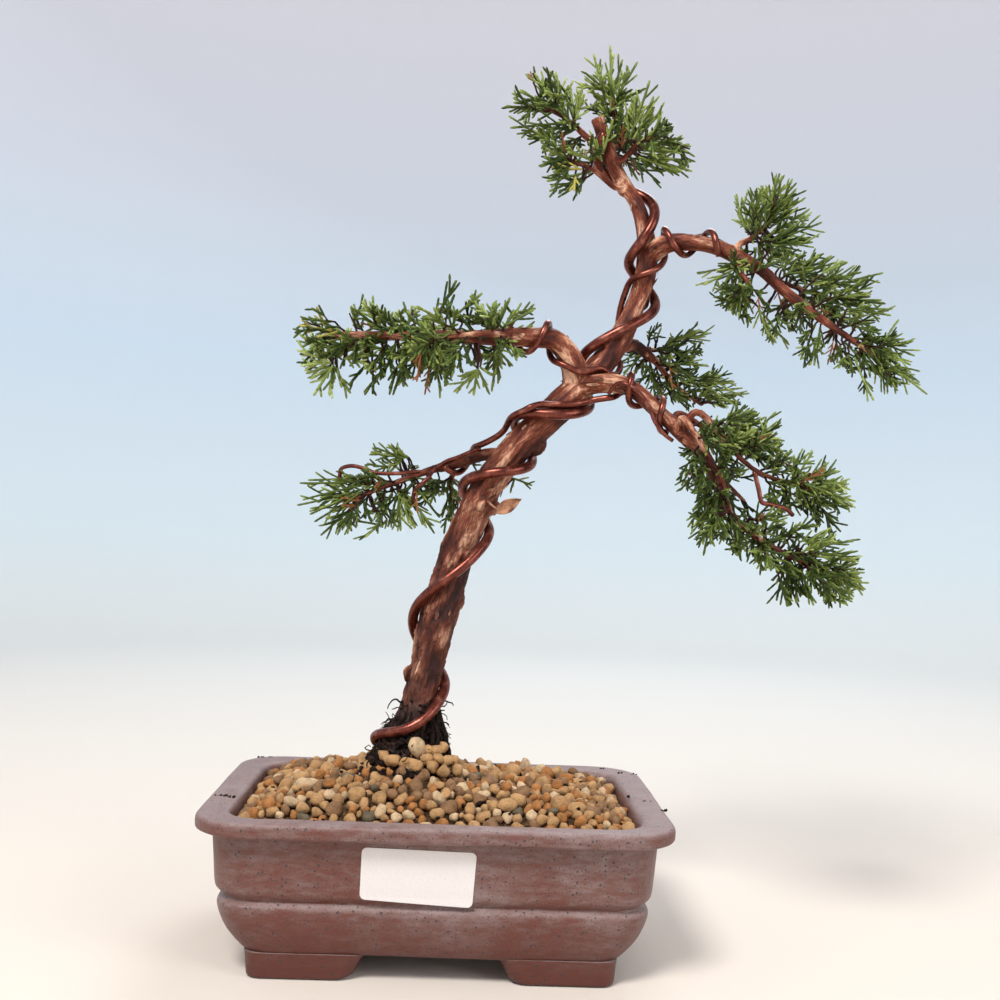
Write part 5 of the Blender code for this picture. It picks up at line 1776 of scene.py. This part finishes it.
# %% Height of the soil
BED_EDGE_HEIGHT, BED_TOP_HEIGHT, BED_TOP_RADIUS, BED_INSET = 60.5, 75.0, 25.0, 15.0
BED_SLOPE = (  # share of the way in, share of the way up
    (0.0, 0.0), (0.25, 0.42), (0.55, 0.72), (0.8, 0.9), (1.0, 1.0),
)
FOOT_OF_TREE = np.array((-15.0, -2.0))
MOUND_SLOPE = ((22.0, 0.0), (19.0, 4.5), (15.0, 9.0), (11.0, 11.0))  # radius, height above the bed
SOIL_DEPTH = 2.6  # of the grains lying on the soil


def bed_height(places):
    """Height of the top of the gravel at some x, y places."""
    away = places - FOOT_OF_TREE
    distance = np.maximum(np.linalg.norm(away, axis=1), 1e-6)
    way = away / distance[:, None]
    half = np.array((POT_WIDTH / 2 - BED_INSET, POT_DEPTH / 2 - BED_INSET))
    room = (half - np.sign(way) * FOOT_OF_TREE) / np.maximum(np.abs(way), 1e-6)
    edge = room.min(axis=1)
    share = np.clip((edge - distance) / (edge - BED_TOP_RADIUS), 0.0, 1.0)
    rise = np.interp(share, *zip(*BED_SLOPE))
    mound = np.interp(-distance, *zip(*[(-radius, height) for radius, height in MOUND_SLOPE]))
    return BED_EDGE_HEIGHT + (BED_TOP_HEIGHT - BED_EDGE_HEIGHT) * rise + mound


def soil_finish(name, dark, middle, pale):
    soil = Finish(name, 0.85)
    soil.read_object()
    crumbs = soil.mask(CLOUDY, Scale=420.0, Detail=5.0)
    soil.colour(soil.ramp(crumbs, ((0.1, dark), (0.6, middle), (0.95, pale))))
    soil.shader.inputs["Specular IOR Level"].default_value = 0.2
    soil.bump(crumbs, 0.0009, 0.9)
    return soil.material


PEAT = soil_finish("peat", (0.005, 0.003, 0.002), (0.014, 0.007, 0.005), (0.050, 0.022, 0.012))
GRIT = soil_finish("clay_dust", (0.030, 0.015, 0.007), (0.085, 0.044, 0.020), (0.210, 0.120, 0.058))
form = bmesh.new()
rings = [pot_ring(17.6, 23.5, 21.5), pot_ring(40.0, 17.1, 16.5), pot_ring(56.0, 15.7, 15.5)]
edge = pot_ring(BED_EDGE_HEIGHT - SOIL_DEPTH, BED_INSET + 0.5, BED_INSET + 0.5)
for share in (0.0, 0.12, 0.25, 0.4, 0.55, 0.7, 0.8, 0.86, 0.9, 0.95):
    ring = edge.copy()
    ring[:, :2] += (FOOT_OF_TREE - ring[:, :2]) * share
    ring[:, 2] = bed_height(ring[:, :2]) - SOIL_DEPTH
    rings.append(ring)
loft(form, rings)
soil_mesh = applied(mesh_from(form, "soil"), ("SUBSURF", {"levels": 1, "render_levels": 1}))
uneven(soil_mesh, 4.0, 0.9)
show("soil", soil_mesh, GRIT, ["gravel_bed"])


# %% Gravel
GRAIN_TONES = {  # colour, share of the grains
    "tan": ((0.430, 0.240, 0.098), 0.38),
    "ochre": ((0.360, 0.145, 0.036), 0.24),
    "umber": ((0.225, 0.115, 0.048), 0.24),
    "cream": ((0.560, 0.390, 0.225), 0.11),
    "grey": ((0.130, 0.100, 0.055), 0.03),
}
GRAIN_COUNT = 2300
PLACES_TRIED = 40
GRAIN_RADIUS, RADIUS_SPREAD, RADIUS_LIMITS = 2.50, 0.24, (1.4, 4.1)
HIGHEST_GRAIN = 2.4  # how far a grain may stand above the height of the bed
BARE_ALL_ROUND, BARE_ON_THE_LEFT = 12.5, 19.0  # no grains this near the trunk
SQUARENESS = 4.0  # 2 is a ball, and a higher power is nearer to a block


def grain_finish(name, colour):
    clay = Finish(name, 0.85)
    clay.read_object()
    cloud = clay.mask(CLOUDY, Scale=230.0, Detail=3.0)
    grit = clay.mask(CLOUDY, Scale=1500.0, Detail=3.0)
    mixed = clay.blend(cloud, 0.6, grit, 0.4)
    dark = tuple(value * 0.58 for value in colour)
    pale = tuple(min(value * 1.25 + 0.02, 0.9) for value in colour)
    clay.colour(clay.ramp(mixed, ((0.1, dark), (0.5, colour), (0.9, pale))))
    clay.bump(grit, 0.00026, 0.8)
    return clay.material


def lumpy_balls(count, detail, rough, seed, chips=0):
    """Some irregular pebbles of about unit size, flat where a chip has come off."""
    dice = random.Random(seed)
    shapes = []
    for _ in range(count):
        form = bmesh.new()
        bmesh.ops.create_icosphere(form, subdivisions=detail, radius=1.0)
        shift = Vector((dice.uniform(-9, 9), dice.uniform(-9, 9), dice.uniform(-9, 9)))
        for vert in form.verts:
            vert.co /= sum(abs(value)**SQUARENESS for value in vert.co) ** (1 / SQUARENESS) * 1.16
            wide, narrow = (noise.noise(vert.co * size + shift) for size in (1.1, 2.6))
            vert.co *= 1.0 + rough * wide + rough * 0.35 * narrow
        for _ in range(chips):
            facing = Vector(dice.gauss(0, 1) for _ in range(3)).normalized()
            flat = dice.uniform(0.58, 0.86)
            for vert in form.verts:
                vert.co -= facing * max(vert.co.dot(facing) - flat, 0.0)
        middling = sum(vert.co.length for vert in form.verts) / len(form.verts)
        bmesh.ops.scale(form, verts=form.verts, vec=[1.03 / middling] * 3)
        squash = (dice.uniform(0.98, 1.25), dice.uniform(0.84, 1.04), dice.uniform(0.72, 0.94))
        bmesh.ops.scale(form, verts=form.verts, vec=squash)
        shapes.append(Shape(form))
    return shapes


def turned_copy(shape, spot, size, dice):
    """The points of a shape at a spot, turned at random."""
    axis = Vector((dice.gauss(0, 1), dice.gauss(0, 1), dice.gauss(0, 1)))
    turn = np.array(Matrix.Rotation(dice.uniform(0, math.tau), 3, axis))
    return np.array(spot) + (shape.spots * size) @ turn.T


def dropped_grains():
    """Centres and radii of grains dropped one by one where each rests lowest."""
    numbers = np.random.default_rng(41)
    centres, sizes = np.zeros((0, 3)), np.zeros(0)
    half = np.array((POT_WIDTH / 2 - BED_INSET, POT_DEPTH / 2 - BED_INSET))
    for _ in range(GRAIN_COUNT):
        size = numbers.lognormal(math.log(GRAIN_RADIUS), RADIUS_SPREAD)
        size = float(np.clip(size, *RADIUS_LIMITS))
        tried = numbers.uniform(-1, 1, (PLACES_TRIED, 2)) * (half - size * 0.75)
        corner = POT_CORNER - CORNER_TIGHTENS * BED_INSET - size * 0.7
        over = np.maximum(np.abs(tried) - (half - size * 0.75 - corner), 0.0)
        tried = tried[np.linalg.norm(over, axis=1) <= corner]
        if not len(tried):
            continue
        top = bed_height(tried)
        rest = top - SOIL_DEPTH + size * 0.55
        if len(centres):
            apart = np.linalg.norm(tried[:, None] - centres[None, :, :2], axis=2)
            reach = (size + sizes) * 0.90
            lift = np.sqrt(np.maximum(reach**2 - apart**2, 0.0))
            lying = np.where(apart < reach, centres[:, 2] + lift * 0.85, 0.0)
            rest = np.maximum(rest, lying.max(axis=1))
        best = int(np.argmin(rest + size * 0.6 - top))
        if rest[best] + size * 0.5 > top[best] + HIGHEST_GRAIN:
            continue
        foot = np.linalg.norm(tried[best] - FOOT_OF_TREE)
        on_the_left = tried[best][0] < FOOT_OF_TREE[0] + 2.0
        if foot < BARE_ALL_ROUND or (foot < BARE_ON_THE_LEFT and on_the_left):
            continue
        centres = np.vstack([centres, [(*tried[best], rest[best])]])
        sizes = np.append(sizes, size)
    return centres, sizes


pebbles = lumpy_balls(18, 2, 0.26, 5, chips=9)
centres, sizes = dropped_grains()
dice = random.Random(77)
tones = list(GRAIN_TONES)
chances = [GRAIN_TONES[tone][1] for tone in tones]
grains = {tone: Heap() for tone in tones}
for centre, size in zip(centres, sizes):
    shape = dice.choice(pebbles)
    tone = dice.choices(tones, chances)[0]
    grains[tone].add(turned_copy(shape, centre, size, dice), shape)
HEAPED = (  # a few larger grains heaped against the right of the clump: place, size
    ((-10.5, -17.0, 88.3), 4.4), ((-21.0, -19.5, 82.5), 3.2), ((-1.5, -15.0, 86.6), 3.1),
    ((-6.5, -18.5, 83.2), 3.0), ((-3.0, -19.5, 80.6), 3.2), ((2.6, -16.5, 82.4), 3.0),
    ((1.0, -12.0, 87.6), 2.6), ((5.6, -13.0, 81.6), 2.8), ((-10.0, -20.5, 81.0), 3.0),
    ((-0.6, -17.6, 83.8), 2.7), ((-5.4, -15.6, 87.0), 2.6), ((7.6, -16.0, 78.6), 2.8),
    ((1.8, -20.6, 78.6), 2.9), ((-15.5, -20.2, 81.4), 2.6), ((-25.0, -17.6, 84.6), 2.4),
)
for spot, size in HEAPED:
    shape = dice.choice(pebbles)
    grains["cream" if size > 4 else "tan"].add(turned_copy(shape, spot, size, dice), shape)
print("grains dropped:", len(sizes))
for tone, heap in grains.items():
    name = f"gravel_{tone}"
    show(name, heap.mesh(name), grain_finish(name, GRAIN_TONES[tone][0]))

# %% [markdown]
# ## Root mound
# The tree was lifted in its pot, so a clump of black peat and fine roots stands under it
# like a skirt, with roots bridging down the right side to the gravel. A lumpy core carries
# clods, and several hundred thin dark roots run over and out of it. A few crumbs of the
# peat have dropped on the rim of the pot.

# %% Root clump
CORE_RINGS = (  # radius, height
    (20.0, 72.0), (21.0, 76.5), (18.0, 80.0), (15.0, 83.5),
    (13.6, 87.0), (12.4, 91.0), (10.6, 95.0), (8.0, 98.0),
)
ROOT_COUNT, BRIDGING_ROOTS = 520, 26
CLOD_COUNT, CRUMBS_ON_THE_BED, CRUMBS_IN_A_SPOT = 620, 150, 3


def mound_centre(height):
    """The clump leans with the trunk above it."""
    share = np.clip((height - 84.0) / 26.0, 0.0, 1.0)
    return np.array((-15.5 + 4.5 * share, -2.0 + 0.8 * share, height))


def mound_radius(height):
    heights = [row[1] for row in CORE_RINGS]
    return float(np.interp(height, heights, [row[0] for row in CORE_RINGS]))


form = bmesh.new()
turns = np.arange(36) / 36 * math.tau
rings = []
for radius, height in rounded(CORE_RINGS, 2):
    around = np.stack([np.cos(turns), np.sin(turns), np.zeros(36)], axis=1)
    rings.append(mound_centre(height) + around * radius * (0.93 if height > 78 else 1.0))
loft(form, rings)
core_mesh = applied(mesh_from(form, "root_core"), ("SUBSURF", {"levels": 2, "render_levels": 2}))
uneven(core_mesh, 7.0, 2.6)
uneven(core_mesh, 2.6, 1.6)
uneven(core_mesh, 1.1, 0.6)
show("root_core", core_mesh, PEAT, ["root_mound"])

dice = random.Random(19)
clods, roots = Heap(), Heap()
lumps = lumpy_balls(8, 2, 0.7, 11)
for _ in range(CLOD_COUNT):
    height = dice.triangular(73, 100, 80)
    bearing = dice.uniform(0, math.tau)
    out = mound_radius(height) * dice.uniform(0.88, 1.08)
    spot = mound_centre(height) + (math.cos(bearing) * out, math.sin(bearing) * out, 0.0)
    shape = dice.choice(lumps)
    clods.add(turned_copy(shape, spot, dice.uniform(0.4, 1.7), dice), shape)
for _ in range(CRUMBS_ON_THE_BED):
    place = np.array([(dice.uniform(-80, 80), dice.uniform(-52, 52))])
    if dice.random() < 0.5:
        place = np.array([FOOT_OF_TREE + (dice.gauss(0, 24), dice.gauss(0, 20))])
    shape = dice.choice(lumps)
    spot = np.array((*place[0], float(bed_height(place)[0]) + dice.uniform(-0.8, 0.8)))
    clods.add(turned_copy(shape, spot, dice.uniform(0.4, 1.1), dice), shape)


def root_line(dice):
    """A root: it leaves the clump, wanders and hangs."""
    height = dice.triangular(76, 108, 92)
    bearing = dice.uniform(0, math.tau)
    if dice.random() < 0.4:
        bearing = dice.gauss(-0.35, 0.45)
    inner = max(mound_radius(height) if height < 98 else 8.4, 7.5)
    way = np.array((math.cos(bearing), math.sin(bearing), 0.0))
    along = np.array((-way[1], way[0], 0.0)) * dice.choice((-1, 1))
    point = mound_centre(height) + way * (inner - 0.8)
    heading = way * dice.uniform(0.0, 0.45) + along * dice.uniform(0, 1.1)
    heading = unit(heading + (0, 0, dice.uniform(-1.2, 0.5)))
    step = dice.uniform(0.8, 1.9)
    line = [point]
    for _ in range(7):
        heading = unit(heading + np.array([dice.gauss(0, 0.5) for _ in range(3)]) + (0, 0, -0.24))
        point = point + heading * step
        line.append(point)
    return np.array(line)


for _ in range(ROOT_COUNT):
    line = root_line(dice)
    low = bed_height(line[:, :2]) - 1.5
    line[:, 2] = np.maximum(line[:, 2], low)
    thick = dice.uniform(0.22, 0.62)
    roots.add(*tube(line, np.linspace(thick, thick * 0.45, len(line)), 5))
for _ in range(BRIDGING_ROOTS):  # stouter roots down the right side, with gaps between them
    bearing = dice.gauss(-0.15, 0.5)
    way = np.array((math.cos(bearing), math.sin(bearing), 0.0))
    head = mound_centre(106.0) + way * dice.uniform(6.5, 8.5)
    foot = mound_centre(78.0) + way * dice.uniform(14.0, 21.0)
    bow = np.cross(unit(foot - head), way) * dice.uniform(-2.5, 2.5) + way * dice.uniform(0, 2.0)
    shares = np.linspace(0, 1, 9)
    line = head + np.outer(shares, foot - head) + np.outer(np.sin(shares * math.pi), bow)
    line += np.array([[dice.gauss(0, 0.35) for _ in range(3)] for _ in shares])
    roots.add(*tube(line, np.linspace(0.85, 0.45, 9), 6))
RIM_CRUMBS = (  # x, y of crumbs of peat dropped on the rim
    (-96, -24), (-93, -23), (-90, -25), (-92, 65), (-88, 65), (89, 56),
    (98, 53), (89, 1), (94, -8), (99, -25), (-48, -63), (81, 65),
)
for x, y in RIM_CRUMBS:
    for _ in range(CRUMBS_IN_A_SPOT):
        spot = np.array((x + dice.gauss(0, 1.1), y + dice.gauss(0, 0.8), POT_HEIGHT + 0.15))
        shape = dice.choice(lumps)
        clods.add(turned_copy(shape, spot, dice.uniform(0.25, 0.7), dice), shape)
show("root_clods", clods.mesh("root_clods"), PEAT)
show("fine_roots", roots.mesh("fine_roots"), PEAT)

# %% [markdown]
# ## Sizes
# The boxes of the plain solids and of the finished plant are worked out and printed side by side.
# The finished plant has to fill the same box as the plain solids, give or take a few millimetres.

# %% Sizes and the end
visual_box = [list(map(float, corner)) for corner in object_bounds()]
for title, box in (("plain solids", cad_box), ("finished plant", visual_box)):
    low, high = ([round(value / MM, 1) for value in corner] for corner in box)
    print(title, "from", low, "to", high, "mm")
